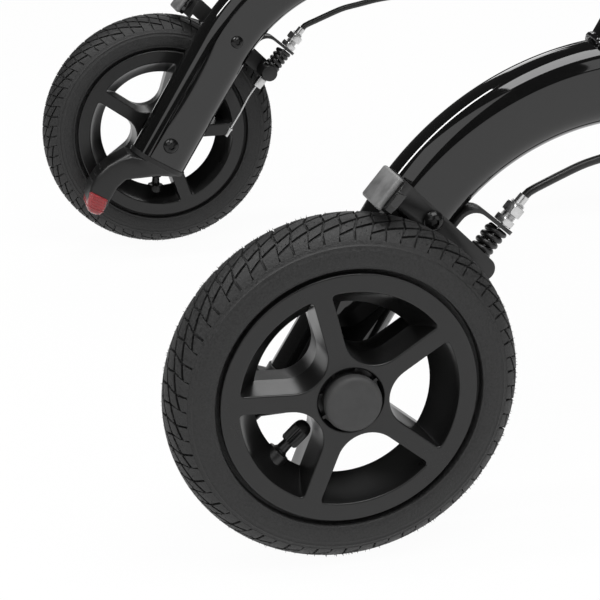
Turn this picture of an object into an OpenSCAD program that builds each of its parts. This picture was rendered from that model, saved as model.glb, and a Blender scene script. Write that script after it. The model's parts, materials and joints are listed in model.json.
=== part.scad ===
// All terrain rollator: two arched side frames on four pneumatic wheels, joined by a folding seat,
// a folding spreader and a folding backrest. X is the walker's right, Y is forward, Z is up.

/* [Wheels] */
// Outer radius of each tyre
wheel_r = 100; // [97:0.5:103]
// Radius of the round tyre section
tyre_sec_r = 20; // [19:0.25:21]
// Thickness of the tyre's rubber wall
tyre_wall = 4.5; // [3:0.5:6]
// Radius of the seat on the rim that the tyre's beads grip
bead_r = 70.5; // [69.5:0.1:71]
// Outer radius of the rim's two flanges
rim_flange_r = 72.4; // [72:0.1:73]
// Thickness of a rim flange
rim_flange_t = 1.6; // [1:0.1:2]
// Inner radius of the rim's barrel at its two faces
rim_in_r = 62.5; // [60:0.5:65]
// Inner radius of the rim's barrel at its waist, halfway between the faces
rim_waist_r = 53; // [51:0.5:57]
// Width of the rim over its flanges
rim_w = 37.2; // [36:0.2:38]
// Number of spokes
spoke_count = 5; // [4:1:6]
// Width of a spoke at the rim
spoke_w = 9.5; // [8:0.5:13]
// Width of a spoke at its root on the hub
spoke_root_w = 21; // [18:1:26]
// Length of the widened root of a spoke
spoke_root_l = 16; // [10:1:20]
// Depth of a spoke along the axle
spoke_depth = 35; // [30:0.5:36]
// Radius of the hub
hub_r = 18; // [17:0.5:20]
// Radius of the wheel axles
axle_r = 5; // [4:0.5:6]
// Running clearance of a shaft in its bore
run_gap = 0.05; // [0.02:0.01:0.1]
// Outer radius of a wheel bearing
bearing_r = 14; // [13:0.5:15]
// Width of a wheel bearing
bearing_w = 8; // [6:0.5:9]
// Radius of the cap on a rear hub
cap_r = 16; // [15:0.1:17]
// Thickness of the cap on a rear hub
cap_t = 7.2; // [5:0.2:8]
// Radius of the valve stem
valve_r = 3; // [2.5:0.25:3.5]
// Radius of the valve's dust cap
valve_cap_r = 4.6; // [4:0.2:5.5]
// Length of the valve's dust cap
valve_cap_l = 13; // [10:0.5:15]
// Length of valve stem that shows below the dust cap
valve_stem_l = 9; // [6:0.5:12]

/* [Side frames] */
// Distance between the centre planes of the rear wheels
track = 593; // [575:1:610]
// Distance from a wheel's centre plane in to the plane of its side frame
frame_offset = 45; // [44:0.5:48]
// Depth of the oval frame tube, seen from the side
tube_h = 45; // [42:0.5:47]
// Width of the oval frame tube, seen from behind
tube_w = 30; // [28:0.5:31]
// Wall of the frame tubes
tube_t = 2; // [1.5:0.1:2.4]
// Angle of the rear leg above the floor
leg_angle = 59; // [57:0.5:61]
// Length of the rear leg from the axle up to its bend
leg_run = 89; // [85:1:94]
// Length of the rear leg below the axle
leg_end = 16.5; // [14:0.5:18]
// Radius of the arch bend, at the middle of the tube
bend_r = 160; // [152:1:168]
// Distance from the rear axle to the caster's swivel axis
swivel_y = 562; // [550:1:575]
// Angle of the upright, leaning back, above the floor
upright_angle = 68; // [66:0.5:70]
// Distance from the rear axle to the foot of the upright, along the rail
upright_foot_y = 500; // [490:1:510]
// Height of the top of the upright's tube above the rail
upright_top = 582; // [570:1:590]
// Angle of the strut, leaning forward, above the floor
strut_angle = 61; // [59:0.5:63]
// Distance from the rear axle to the foot of the strut, along the rail
strut_foot_y = 165.6; // [160:0.2:172]
// Depth of the strut's tube, seen from the side
strut_h = 40; // [36:0.5:42]
// Radius of the caster head
head_r = 24; // [22:0.5:26]
// Height of the caster head above the crown of its fork
head_l = 66; // [58:1:72]

/* [Casters] */
// Distance that a front wheel trails behind its swivel axis
trail = 45; // [40:1:50]
// Gap between a tyre's side and the fork's leg
fork_side_gap = 7; // [5:0.5:9]
// Thickness of a fork leg
fork_leg_t = 7; // [6:0.5:8]
// Gap between a tyre's top and the fork's crown
crown_gap = 12; // [9:0.5:14]
// Thickness of the fork's crown
crown_t = 14; // [11:0.5:16]
// Radius of the fork's stem
stem_r = 8; // [7:0.5:9]

/* [Brakes] */
// Distance ahead of the axle to the brake arm's pivot
pivot_y = 57.5; // [56:0.5:59]
// Height of the brake arm's pivot above the axle
pivot_z = 84.5; // [83:0.5:86]
// Radius of the brake arm's pivot bolt
pivot_r = 4; // [3:0.25:5]
// Thickness of the brake arm's plate
arm_t = 5; // [4:0.5:6]
// Distance from the wheel's centre plane in to the far face of the brake arm's plate
arm_d = 27; // [26.5:0.25:28]
// Clearance between the brake pad and the tyre
pad_gap = 2.1; // [2:0.1:3]
// Thickness of the brake pad's facing
pad_t = 3.5; // [3:0.25:4.5]
// Height of the brake pad
pad_h = 23; // [20:0.5:25]
// Width of the brake pad across the tyre
pad_w = 30; // [26:0.5:32]
// Direction from the axle to the brake pad's lower edge, above forward
pad_angle = 81.4; // [80.5:0.1:82.5]
// Lean of the brake pad, above forward
pad_lean = 50.5; // [48:0.5:53]
// Distance ahead of the axle where the brake cable crosses its bracket
pull_y = 104; // [103:0.5:106]
// Height above the axle where the brake cable crosses its bracket
pull_z = 73; // [72:0.5:75]
// Angle of the brake cable's pull above the floor
pull_angle = 50; // [48:0.5:52]
// Distance from the wheel's centre plane in to the brake cable
pull_d = 40; // [38:0.5:42]
// Thickness of the cable bracket
bracket_t = 3; // [2:0.25:4]
// Mean radius of the return spring
spring_r = 6; // [5:0.25:7]
// Radius of the return spring's wire
spring_wire_r = 0.9; // [0.6:0.05:1.1]
// Number of turns of the return spring
spring_turns = 4; // [3:1:5]
// Length of the return spring
spring_l = 16; // [14:0.5:17]
// Radius of the brake cable's housing
cable_r = 2.5; // [2:0.1:2.6]
// Radius of the brake cable's inner wire
wire_r = 0.8; // [0.6:0.05:1]

/* [Handles] */
// Radius of the round handle post
post_r = 12.5; // [12:0.1:12.6]
// Wall of the handle post
post_t = 2; // [1.5:0.1:2.5]
// Length of post that hides inside the upright
post_hidden = 230; // [200:5:260]
// Length of straight post above its collar
post_shown = 26; // [20:1:40]
// Radius of the handle's bend
handle_bend_r = 46; // [40:1:55]
// Length of the grip
grip_l = 126; // [110:1:130]
// Radius of the grip
grip_r = 17; // [15.5:0.25:19]
// Length of the plastic collar on the upright
collar_l = 44; // [38:1:52]
// Wall of the plastic collar
collar_t = 3.5; // [3:0.25:5]
// Radius of the height knob
knob_r = 19; // [16:0.5:22]
// Thickness of the height knob
knob_t = 15; // [12:0.5:18]
// Length of the brake lever
lever_l = 105; // [95:1:112]

/* [Seat, spreader and backrest] */
// Distance from a frame tube's inner face in to the pivots of the fold
fold_inset = 24.5; // [22.5:0.5:30]
// Height of the seat's hinges above the floor
seat_z = 520; // [514:1:522]
// Depth of the seat from front to back
seat_depth = 280; // [240:5:300]
// Thickness of a seat board
board_t = 8; // [6:0.5:9]
// Height of the seat cushion's crown above its board
pad_crown = 18; // [14:0.5:20]
// Radius of the fold's hinge barrels
barrel_r = 7; // [6.5:0.25:8]
// Radius of the fold's hinge pins
pin_r = 4; // [3:0.25:4.5]
// Depth of a spreader arm from front to back
spreader_depth = 60; // [50:1:70]
// Height of a backrest panel
back_h = 72; // [60:1:80]
// Thickness of a backrest panel
back_t = 20; // [16:0.5:22]
// Height of the middle of the backrest above the seat's hinges
back_rise = 248; // [246:1:252]

/* [Hidden] */
$fn = 64;
SIDES = [["left", -1], ["right", 1]];
SIDE_NODES = [
    "arch", "upright", "head", "toe", "reflector", "bolts", "brake_bracket", "adjuster", "cable", "collar",
    "knob", "pivot_brackets", "rear_rim", "rear_tyre", "rear_bearings", "hub_cap", "fork", "front_rim",
    "front_tyre", "brake_arm", "brake_pad", "brake_spring", "cable_clamp", "handle_post", "grip", "lever",
    "seat_board", "seat_pad", "spreader", "backrest"
];

// Shared clearances
overrun = 2;
weld_gap = 0.1;
// How much the bending die draws the tube in
bend_draw = 0.3;
clear = 0.4;

// Places that follow from the sizes above
wheel_x = track / 2;
frame_x = wheel_x - frame_offset;
inner_x = frame_x - tube_w / 2;
outer_x = frame_x + tube_w / 2;
front_axle_y = swivel_y - trail;
rear_y = -front_axle_y / 2;
bend_y = leg_run * cos(leg_angle) + bend_r * sin(leg_angle);
bend_z = wheel_r + leg_run * sin(leg_angle) - bend_r * cos(leg_angle);
rail_z = bend_z + bend_r;
crown_z = 2 * wheel_r + crown_gap;
head_z = crown_z + crown_t + clear;
fork_half = tyre_sec_r + fork_side_gap;
upright_l = upright_top / sin(upright_angle);
pull_x = wheel_x - pull_d;
fold_half = inner_x - fold_inset;
leg_tip = [-leg_end * cos(leg_angle), wheel_r - leg_end * sin(leg_angle)];
strut_span = upright_foot_y - strut_foot_y;
apex_rise = strut_span / (1 / tan(strut_angle) + 1 / tan(upright_angle));
strut_l = apex_rise / sin(strut_angle);
back_z = seat_z + back_rise;

// Angles of the first spoke and of the valve on the two wheels, turned up from forward
spoke_turn = [0.8, 105.3];
valve_turn = [265, 224];
// Angles of the same on the casters
caster_turn = [57, 12];

// Wheel details
hub_gap = 1.5;
nut_r = 9;
nut_h = 6;
nut_pocket = nut_h + 2 * clear;
bolt_head_r = 8.5;
axle_head_r = 6.5;
pivot_end_r = 5.2;
bolt_head_h = 5;
pivot_head_r = 6;
pivot_head_h = 4;
spacer_r = 7.5;
valve_tip_r = rim_waist_r - valve_stem_l - valve_cap_l;
rim_well_r = rim_in_r + 1.5;
bead_seat_w = 5;
axle_boss_r = 14;
fork_top_r = 17;
crown_back = 26;

// Toe at the foot of the leg
toe_angle = 187;
toe_run = 30;
toe_bend_r = 26;
toe_bend = 70;
toe_tip_l = 12;
toe_h = 21;
toe_w = 27;
toe_cap_t = 4;
reflector_t = 3;
reflector_inset = 1.5;

// Brake details
arm_r = 7;
lug_r = 6.5;
lug_reach = 8;
lug_drop = 25;
pad_r = wheel_r + pad_gap;
holder_t = 4;
holder_rise = 5;
arm_inset = 3;
arm_rise = 16;
bracket_w = 15;
bracket_reach = 9;
bracket_root = 30;
bracket_foot = 30;
adjuster_r = 4.5;
adjuster_thread_r = 3;
adjuster_l = 15;
adjuster_nut_r = 6.5;
adjuster_nut_h = 4;
lug_travel = 3;
clamp_r = 4.2;
clamp_l = 10;
crimp_r = 1.5;
crimp_l = 9;
grommet_r = 6;
grommet_l = 7;
grommet_y = 290;

// Handle details
grip_tip_l = 8;
grip_tip_r = 18.5;
housing_l = 30;
housing_w = 30;
housing_top = 15;
lever_t = 10;
lever_drop = 33;
lever_slope = 14;
lever_root_r = 8;
lever_tip_r = 5.5;
lever_pin_r = 3;
knob_screw_r = 4;
knob_lobes = 6;
knob_core_share = 0.8;
knob_lobe_share = 0.25;
knob_stand = 2;

// Fold details
board_edge = 24;
middle_gap = 8;
leaf_t = 3;
leaf_l = 40;
knuckle_l = 40;
ear_t = 6;
ear_r = 8;
ears_l = 84;
spreader_t = 14;
plate_t = 4;
seat_plate_h = 44;
flat_plate_h = 14;
pad_inset = 4;
cushion_corner_r = 26;
cushion_edge_r = 9;
back_ears_l = 48;
fold_y = (strut_foot_y + upright_foot_y + strut_h) / 2;
back_pivot_y = upright_foot_y - (back_z - rail_z) / tan(upright_angle);

// Places along the handle: top of the upright, end of the straight post, centre of the bend, start of the grip
lean = 180 - upright_angle;
top_point = [upright_foot_y, rail_z] + upright_l * dir2(lean);
post_point = top_point + (collar_t + post_shown) * dir2(lean);
bend_point = post_point + handle_bend_r * dir2(lean + 90);
grip_point = bend_point + [0, handle_bend_r];
lever_point = grip_point + [-housing_l / 2, -lever_drop];

// Points along the brake cable's housing, from where the cable crosses its bracket: across, ahead, up
pull_point = [pull_x, pull_y, wheel_r + pull_z];
cable_steps = [
    [0, 13, 15.5], [0, 17, 19], [-0.5, 24, 22], [-1, 36, 27], [-1.5, 49, 32],
    [-2.5, 62, 35], [-3.5, 81, 39], [-4.5, 106, 41.5], [-5, 131, 41.5], [-5, 156, 40],
    [-5, 172, 40.5], [-5, 182, 44.5], [-5, 186, 51]
];
cable_route = [for (step = cable_steps) pull_point + step];

// Points along the brake wire's free tail, from the same place
tail_steps = [[0, -24.5, -28.5], [-1.5, -33, -39], [-3.5, -41, -52], [-4.5, -49, -64]];
tail_route = [for (step = tail_steps) pull_point + step];

function unit(v) = v / norm(v);
function dir2(a) = [cos(a), sin(a)];
function tangent(p, i) = unit(p[min(i + 1, len(p) - 1)] - p[max(i - 1, 0)]);
function ring(c, t, r, n, ref) =
    let (u = unit(cross(ref, t)), v = cross(t, u))
    [for (k = [0:n - 1]) c + r * (cos(360 * k / n) * u + sin(360 * k / n) * v)];
function quad(a, b, c, d) = [[a, b, c], [a, c, d]];
function band(i, n) =
    [for (k = [0:n - 1]) each quad(i * n + (k + 1) % n, i * n + k, (i + 1) * n + k, (i + 1) * n + (k + 1) % n)];
function spline_point(a, b, c, d, t) =
    ((2 * b) + (c - a) * t + (2 * a - 5 * b + 4 * c - d) * t * t + (3 * b - a - 3 * c + d) * t * t * t) / 2;
function spline(p, n) = [
    for (i = [0:len(p) - 2], k = [0:n - 1])
        spline_point(p[max(i - 1, 0)], p[i], p[i + 1], p[min(i + 2, len(p) - 1)], k / n),
    p[len(p) - 1]
];

// Spring: one helical wire, its points computed along its axis
function coil(r, l, turns, steps) =
    [for (i = [0:turns * steps]) [r * cos(360 * i / steps), r * sin(360 * i / steps), l * i / (turns * steps)]];
coil_steps = 8;
spring_path = coil(spring_r, spring_l - 2 * spring_wire_r, spring_turns, coil_steps);
spring_gap = min([
    for (i = [0:len(spring_path) - 1], j = [i + coil_steps / 2:1:len(spring_path) - 1])
        norm(spring_path[i] - spring_path[j])
]) - 2 * spring_wire_r;
echo(str("return spring: least gap between turns ", spring_gap, " mm"));

// Draw one side: the model is written for the right and mirrored for the left
module placed(s) {
    if (s > 0)
        translate([0, rear_y, 0]) children();
    else
        mirror([1, 0, 0]) translate([0, rear_y, 0]) children();
}

// Point an upright run a degrees above forward
module aim(a) {
    rotate([a - 90, 0, 0]) children();
}

module rod_x(r, x0, x1) {
    translate([x0, 0, 0]) rotate([0, 90, 0]) cylinder(r = r, h = x1 - x0);
}

module rod_y(r, y0, y1) {
    translate([0, y0, 0]) rotate([-90, 0, 0]) cylinder(r = r, h = y1 - y0);
}

// A plate in the side plane, its outline given as ahead and up
module plate_x(x0, x1) {
    translate([x0, 0, 0]) rotate([90, 0, 90]) linear_extrude(x1 - x0) children();
}

module box(x0, x1, y0, y1, z0, z1) {
    translate([x0, y0, z0]) cube([x1 - x0, y1 - y0, z1 - z0]);
}

// Outline of a bar that tapers between two round ends
module bar2d(p, q, rp, rq) {
    a = atan2(q[1] - p[1], q[0] - p[0]);
    b = acos((rp - rq) / norm(q - p));
    translate(p) circle(r = rp);
    translate(q) circle(r = rq);
    polygon([p + rp * dir2(a + b), p + rp * dir2(a - b), q + rq * dir2(a - b), q + rq * dir2(a + b)]);
}

module oval(h, w) {
    square([h - w, w], center = true);
    for (k = [-1, 1])
        translate([k * (h - w) / 2, 0]) circle(d = w);
}

module run(l, h, w) {
    linear_extrude(l) rotate(90) oval(h, w);
}

module sweep(path, r, n, ref) {
    m = len(path);
    points = [for (i = [0:m - 1]) each ring(path[i], tangent(path, i), r, n, ref)];
    start = [for (k = [1:n - 2]) [0, k, k + 1]];
    finish = [for (k = [1:n - 2]) [(m - 1) * n, (m - 1) * n + k + 1, (m - 1) * n + k]];
    polyhedron(points, concat([for (i = [0:m - 2]) each band(i, n)], start, finish), convexity = m);
}

// Solid run of the arch: leg, bend and rail
module arch_path(h, w, over) {
    translate([frame_x, 0, wheel_r]) aim(leg_angle) translate([0, 0, -leg_end - over])
        run(leg_end + leg_run + over, h, w);
    translate([frame_x, bend_y, bend_z]) rotate([90, 0, 90]) rotate(90)
        rotate_extrude(angle = leg_angle) translate([bend_r, 0]) oval(h - bend_draw, w - bend_draw);
    translate([frame_x, bend_y, rail_z]) aim(0) run(swivel_y - bend_y, h, w);
}

module head_body(gap) {
    translate([frame_x, swivel_y, head_z - gap]) cylinder(r = head_r + gap, h = head_l + 2 * gap);
}

module upright_path(h, w, over) {
    translate([frame_x, upright_foot_y, rail_z]) aim(180 - upright_angle) run(upright_l + over, h, w);
}

module strut_path(h, w) {
    translate([frame_x, strut_foot_y, rail_z]) aim(strut_angle) run(strut_l, h, w);
}

module at_axle() {
    translate([0, 0, wheel_r]) children();
}

module at_pivot() {
    translate([0, pivot_y, wheel_r + pivot_z]) children();
}

// Along the cable's pull, with the bracket's plate at zero
module at_pull() {
    translate(pull_point) aim(pull_angle) children();
}

module arch(s) {
    color("#131315") placed(s) difference() {
        arch_path(tube_h, tube_w, 0);
        arch_path(tube_h - 2 * tube_t, tube_w - 2 * tube_t, overrun);
        head_body(weld_gap);
        at_axle() rod_x(axle_r + weld_gap, inner_x - overrun, outer_x + overrun);
        at_pivot() rod_x(pivot_r + weld_gap, inner_x - overrun, outer_x + overrun);
        translate([frame_x, grommet_y, rail_z - tube_h]) cylinder(r = cable_r + clear, h = tube_h);
    }
}

module upright(s) {
    color("#131315") placed(s) difference() {
        union() {
            upright_path(tube_h, tube_w, 0);
            strut_path(strut_h, tube_w);
        }
        upright_path(tube_h - 2 * tube_t, tube_w - 2 * tube_t, overrun);
        strut_path(strut_h - 2 * tube_t, tube_w - 2 * tube_t);
        arch_path(tube_h + 2 * weld_gap, tube_w + 2 * weld_gap, 0);
        head_body(weld_gap);
        at_knob() rod_x(knob_screw_r + clear, 0, tube_w);
    }
}

module head(s) {
    color("#1c1c1f") placed(s) difference() {
        head_body(0);
        translate([frame_x, swivel_y, head_z - overrun])
            cylinder(r = stem_r + run_gap, h = head_l - 2 * tube_t + overrun);
    }
}

// At the foot of the leg, along the toe's level start
module at_toe() {
    translate([frame_x, leg_tip[0], leg_tip[1]]) aim(toe_angle) children();
}

// On the axis of the toe's bend
module at_toe_bend() {
    at_toe() translate([0, -toe_bend_r, toe_run]) children();
}

// At the foot of the toe's bend, along its tip
module at_toe_tip() {
    at_toe_bend() rotate([toe_bend, 0, 0]) translate([0, toe_bend_r, 0]) children();
}

module toe(s) {
    color("#2b2c2e") placed(s) difference() {
        union() {
            translate([frame_x, 0, wheel_r]) aim(leg_angle) translate([0, 0, -leg_end - toe_cap_t])
                run(toe_cap_t, tube_h, tube_w);
            at_toe() linear_extrude(toe_run) oval(toe_w, toe_h);
            at_toe_bend() rotate([0, 90, 0]) rotate(90) rotate_extrude(angle = toe_bend)
                translate([toe_bend_r, 0]) rotate(90) oval(toe_w - bend_draw, toe_h - bend_draw);
            at_toe_tip() translate([0, 0, -weld_gap]) linear_extrude(toe_tip_l + weld_gap) oval(toe_w, toe_h);
        }
        translate([frame_x, 0, wheel_r]) aim(leg_angle) box(-tube_h, tube_h, -tube_h, tube_h, -leg_end, tube_h);
    }
}

module reflector(s) {
    color("#b01218") placed(s) at_toe_tip() translate([0, 0, toe_tip_l])
        linear_extrude(reflector_t) oval(toe_w - 2 * reflector_inset, toe_h - 2 * reflector_inset);
}

// Rear axle and the brake arm's pivot, with their heads on the leg's inner face
module bolts(s) {
    nut_x = wheel_x + rim_w / 2 - nut_pocket + clear;
    arm_x = wheel_x - arm_d;
    color("#9a9da2") placed(s) {
        at_axle() {
            rod_x(axle_r, inner_x, nut_x + nut_h);
            rod_x(axle_head_r, inner_x - bolt_head_h, inner_x);
            rod_x(spacer_r, outer_x, wheel_x - rim_w / 2 - clear);
            translate([nut_x, 0, 0]) rotate([0, 90, 0]) cylinder(r = nut_r, h = nut_h, $fn = 6);
        }
        at_pivot() {
            rod_x(pivot_r, inner_x, arm_x + arm_t + clear + pivot_head_h);
            rod_x(pivot_end_r, inner_x - bolt_head_h, inner_x);
            rod_x(pivot_head_r, outer_x, arm_x - clear);
            rod_x(pivot_head_r, arm_x + arm_t + clear, arm_x + arm_t + clear + pivot_head_h);
        }
    }
}

module brake_bracket(s) {
    color("#1a1a1c") placed(s) difference() {
        at_pull() {
            box(-bracket_w / 2, bracket_w / 2, -bracket_root, bracket_reach, -bracket_t / 2, bracket_t / 2);
            box(-bracket_w / 2, bracket_w / 2, -bracket_root, 2 * bracket_t - bracket_root, -bracket_foot, 0);
        }
        at_pull() translate([0, 0, -bracket_t]) cylinder(r = adjuster_thread_r + weld_gap, h = 2 * bracket_t);
        arch_path(tube_h + 2 * weld_gap, tube_w + 2 * weld_gap, 0, $fn = 256);
    }
}

// Threaded barrel with its lock nut, and the wire that runs down from it
module adjuster(s) {
    color("#c3c6ca") placed(s) at_pull() {
        translate([0, 0, -bracket_t / 2]) cylinder(r = adjuster_thread_r, h = bracket_t);
        translate([0, 0, bracket_t / 2]) cylinder(r = adjuster_nut_r, h = adjuster_nut_h, $fn = 6);
        translate([0, 0, bracket_t / 2]) cylinder(r = adjuster_r, h = adjuster_l);
        translate([0, 0, bracket_t / 2 + 2 * adjuster_nut_h])
            cylinder(r = adjuster_nut_r, h = adjuster_nut_h, $fn = 6);
        translate([0, 0, lug_r + lug_travel - lug_drop])
            cylinder(r = wire_r, h = lug_drop - lug_r - lug_travel);
    }
}

module cable(s) {
    grommet_z = rail_z - tube_h / 2 - grommet_l;
    color("#111112") placed(s) {
        sweep(spline(cable_route, 2), cable_r, 10, [1, 0, 0]);
        difference() {
            translate([frame_x, grommet_y, grommet_z]) cylinder(r = grommet_r, h = grommet_l);
            translate([frame_x, grommet_y, grommet_z - overrun])
                cylinder(r = cable_r + clear, h = grommet_l + 2 * overrun);
        }
    }
}

// At the top of the upright, along its tube
module at_top() {
    translate([frame_x, top_point[0], top_point[1]]) aim(lean) children();
}

module at_knob() {
    at_top() translate([0, 0, -collar_l / 2]) children();
}

module collar(s) {
    color("#232427") placed(s) difference() {
        at_top() translate([0, 0, collar_t - collar_l])
            run(collar_l, tube_h + 2 * collar_t, tube_w + 2 * collar_t);
        at_top() translate([0, 0, -collar_l]) run(collar_l, tube_h + 2 * weld_gap, tube_w + 2 * weld_gap);
        at_top() translate([0, 0, -overrun]) cylinder(r = post_r + run_gap, h = collar_t + 2 * overrun);
        at_knob() rod_x(knob_screw_r + weld_gap, 0, tube_w);
    }
}

module knob(s) {
    knob_x = tube_w / 2 + collar_t + knob_stand;
    color("#1e1e20") placed(s) at_knob() {
        rod_x(knob_screw_r, post_r + clear, knob_x);
        translate([knob_x, 0, 0]) rotate([0, 90, 0]) linear_extrude(knob_t) {
            circle(r = knob_r * knob_core_share);
            for (k = [1:knob_lobes])
                rotate(360 * k / knob_lobes) translate([knob_r * (1 - knob_lobe_share), 0])
                    circle(r = knob_r * knob_lobe_share);
        }
    }
}

module at_grip() {
    translate([frame_x, grip_point[0], grip_point[1]]) children();
}

// Bent post: its two straight runs are bored out
module handle_post(s) {
    post_l = post_hidden + collar_t + post_shown;
    color("#8e9196") placed(s) difference() {
        union() {
            at_top() translate([0, 0, -post_hidden]) cylinder(r = post_r, h = post_l);
            translate([frame_x, bend_point[0], bend_point[1]]) rotate([90, 0, 90]) rotate(90 - upright_angle)
                rotate_extrude(angle = upright_angle) translate([handle_bend_r, 0]) circle(r = post_r);
            at_grip() rod_y(post_r, -housing_l - grip_l, 0);
        }
        at_top() translate([0, 0, -post_hidden - overrun]) cylinder(r = post_r - post_t, h = post_l);
        at_grip() rod_y(post_r - post_t, -housing_l - grip_l - overrun, -overrun);
    }
}

// Rubber grip, with the lever's housing in front of it
module grip(s) {
    grip_end = -housing_l - grip_l;
    color("#17181a") placed(s) difference() {
        at_grip() {
            rod_y(grip_r, grip_end, -housing_l);
            rod_y(grip_tip_r, grip_end - grip_tip_l, grip_end);
            box(-housing_w / 2, housing_w / 2, -housing_l, 0, -lever_drop - lever_root_r, housing_top);
        }
        at_grip() rod_y(post_r + weld_gap, grip_end, overrun);
        at_grip() box(-lever_t / 2 - clear, lever_t / 2 + clear, -housing_l - overrun, overrun,
            -lever_drop - lever_root_r - overrun, lever_root_r + clear - lever_drop);
        translate([frame_x, lever_point[0], lever_point[1]])
            rod_x(lever_pin_r + run_gap, -housing_w, housing_w);
    }
}

module lever(s) {
    tip = lever_point + lever_l * dir2(180 + lever_slope);
    color("#26272a") placed(s) {
        plate_x(frame_x - lever_t / 2, frame_x + lever_t / 2)
            bar2d(lever_point, tip, lever_root_r, lever_tip_r);
        translate([frame_x, lever_point[0], lever_point[1]]) rod_x(lever_pin_r, -housing_w / 2, housing_w / 2);
    }
}

// Wheel parts are drawn about their axle, outboard side up
module at_rear_wheel() {
    translate([wheel_x, 0, wheel_r]) rotate([90, 0, 90]) children();
}

module at_front_wheel() {
    translate([frame_x, front_axle_y, wheel_r]) rotate([90, 0, 90]) children();
}

module valve_rod(a, r, r0, r1) {
    rotate(a) translate([r0, 0, 0]) rotate([0, 90, 0]) cylinder(r = r, h = r1 - r0);
}

module rim_shape(turn, valve) {
    face = rim_w / 2;
    seat = face - rim_flange_t;
    well = seat - bead_seat_w;
    difference() {
        union() {
            rotate_extrude() polygon([
                [rim_in_r, -face], [rim_waist_r, 0], [rim_in_r, face], [rim_flange_r, face], [rim_flange_r, seat],
                [bead_r, seat], [bead_r, well], [rim_well_r, well / 2], [rim_well_r, -well / 2], [bead_r, -well],
                [bead_r, -seat], [rim_flange_r, -seat], [rim_flange_r, -face]
            ]);
            for (i = [0:spoke_count - 1])
                rotate(turn + 360 * i / spoke_count) linear_extrude(spoke_depth, center = true) polygon([
                    [0, -spoke_root_w / 2], [hub_r, -spoke_root_w / 2], [hub_r + spoke_root_l, -spoke_w / 2],
                    [rim_in_r + overrun, -spoke_w / 2], [rim_in_r + overrun, spoke_w / 2],
                    [hub_r + spoke_root_l, spoke_w / 2], [hub_r, spoke_root_w / 2], [0, spoke_root_w / 2]
                ]);
            cylinder(r = hub_r, h = rim_w, center = true);
        }
        valve_rod(valve, valve_r + weld_gap, rim_waist_r - overrun, bead_r + overrun);
    }
}

module tyre_shape(valve) {
    cut_w = tyre_sec_r + overrun;
    lip_x = rim_w / 2 - rim_flange_t - weld_gap;
    rotate_extrude() difference() {
        translate([wheel_r - tyre_sec_r, 0]) circle(r = tyre_sec_r);
        translate([wheel_r - tyre_sec_r, 0]) circle(r = tyre_sec_r - tyre_wall);
        translate([0, -cut_w]) square([bead_r, 2 * cut_w]);
        translate([0, -cut_w]) square([rim_flange_r + weld_gap, cut_w - lip_x]);
        translate([0, lip_x]) square([rim_flange_r + weld_gap, cut_w - lip_x]);
    }
    valve_rod(valve, valve_r, valve_tip_r, bead_r);
    valve_rod(valve, valve_cap_r, valve_tip_r, valve_tip_r + valve_cap_l);
}

module rear_rim(s) {
    i = s > 0 ? 1 : 0;
    color("#1f2022") placed(s) at_rear_wheel() difference() {
        rim_shape(spoke_turn[i], valve_turn[i]);
        cylinder(r = axle_r + hub_gap, h = 2 * rim_w, center = true);
        translate([0, 0, rim_w / 2 - nut_pocket - bearing_w]) cylinder(r = bearing_r, h = rim_w);
        translate([0, 0, -rim_w / 2 - overrun]) cylinder(r = bearing_r, h = bearing_w + overrun);
    }
}

module rear_tyre(s) {
    color("#3a3b3d") placed(s) at_rear_wheel() tyre_shape(valve_turn[s > 0 ? 1 : 0]);
}

module rear_bearings(s) {
    color("#b9bcc0") placed(s) at_rear_wheel()
        for (z = [-rim_w / 2, rim_w / 2 - nut_pocket - bearing_w])
            translate([0, 0, z]) difference() {
                cylinder(r = bearing_r, h = bearing_w);
                translate([0, 0, -overrun]) cylinder(r = axle_r + run_gap, h = bearing_w + 2 * overrun);
            }
}

module hub_cap(s) {
    color("#2a2b2d") placed(s) at_rear_wheel() translate([0, 0, rim_w / 2]) cylinder(r = cap_r, h = cap_t);
}

module front_rim(s) {
    turn = caster_turn[s > 0 ? 1 : 0];
    color("#1f2022") placed(s) at_front_wheel() difference() {
        rim_shape(turn, turn + 180 / spoke_count);
        cylinder(r = axle_r + run_gap, h = 2 * rim_w, center = true);
    }
}

module front_tyre(s) {
    color("#3a3b3d") placed(s) at_front_wheel() tyre_shape(caster_turn[s > 0 ? 1 : 0] + 180 / spoke_count);
}

// Fork with its stem, front axle and hub spacers
module fork(s) {
    stem_l = crown_t + clear + head_l - 2 * tube_t - clear;
    color("#1c1c1f") placed(s) {
        for (k = [-1, 1]) {
            x0 = frame_x + (k > 0 ? fork_half : -fork_half - fork_leg_t);
            plate_x(x0, x0 + fork_leg_t)
                bar2d([swivel_y - fork_leg_t, crown_z], [front_axle_y, wheel_r], fork_top_r, axle_boss_r);
        }
        box(frame_x - fork_half - fork_leg_t, frame_x + fork_half + fork_leg_t, swivel_y - crown_back,
            swivel_y + head_r / 2, crown_z, crown_z + crown_t);
        translate([frame_x, swivel_y, crown_z]) cylinder(r = stem_r, h = stem_l);
        translate([frame_x, front_axle_y, wheel_r]) {
            reach = fork_half + fork_leg_t + bolt_head_h;
            rod_x(axle_r, -reach, reach);
            for (k = [-1, 1]) {
                x0 = k > 0 ? rim_w / 2 + clear : -fork_half;
                x1 = k > 0 ? fork_half : -rim_w / 2 - clear;
                rod_x(spacer_r, x0, x1);
                head_x = k > 0 ? fork_half + fork_leg_t : -reach;
                rod_x(bolt_head_r, head_x, head_x + bolt_head_h);
            }
        }
    }
}

// Swinging arm that carries the brake pad and the cable's lug
// The pad leans back over the tyre, with its lower edge nearest to it
module at_pad() {
    edge = pad_r * dir2(pad_angle);
    at_axle() translate([0, edge[0], edge[1]]) aim(pad_lean) children();
}

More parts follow.
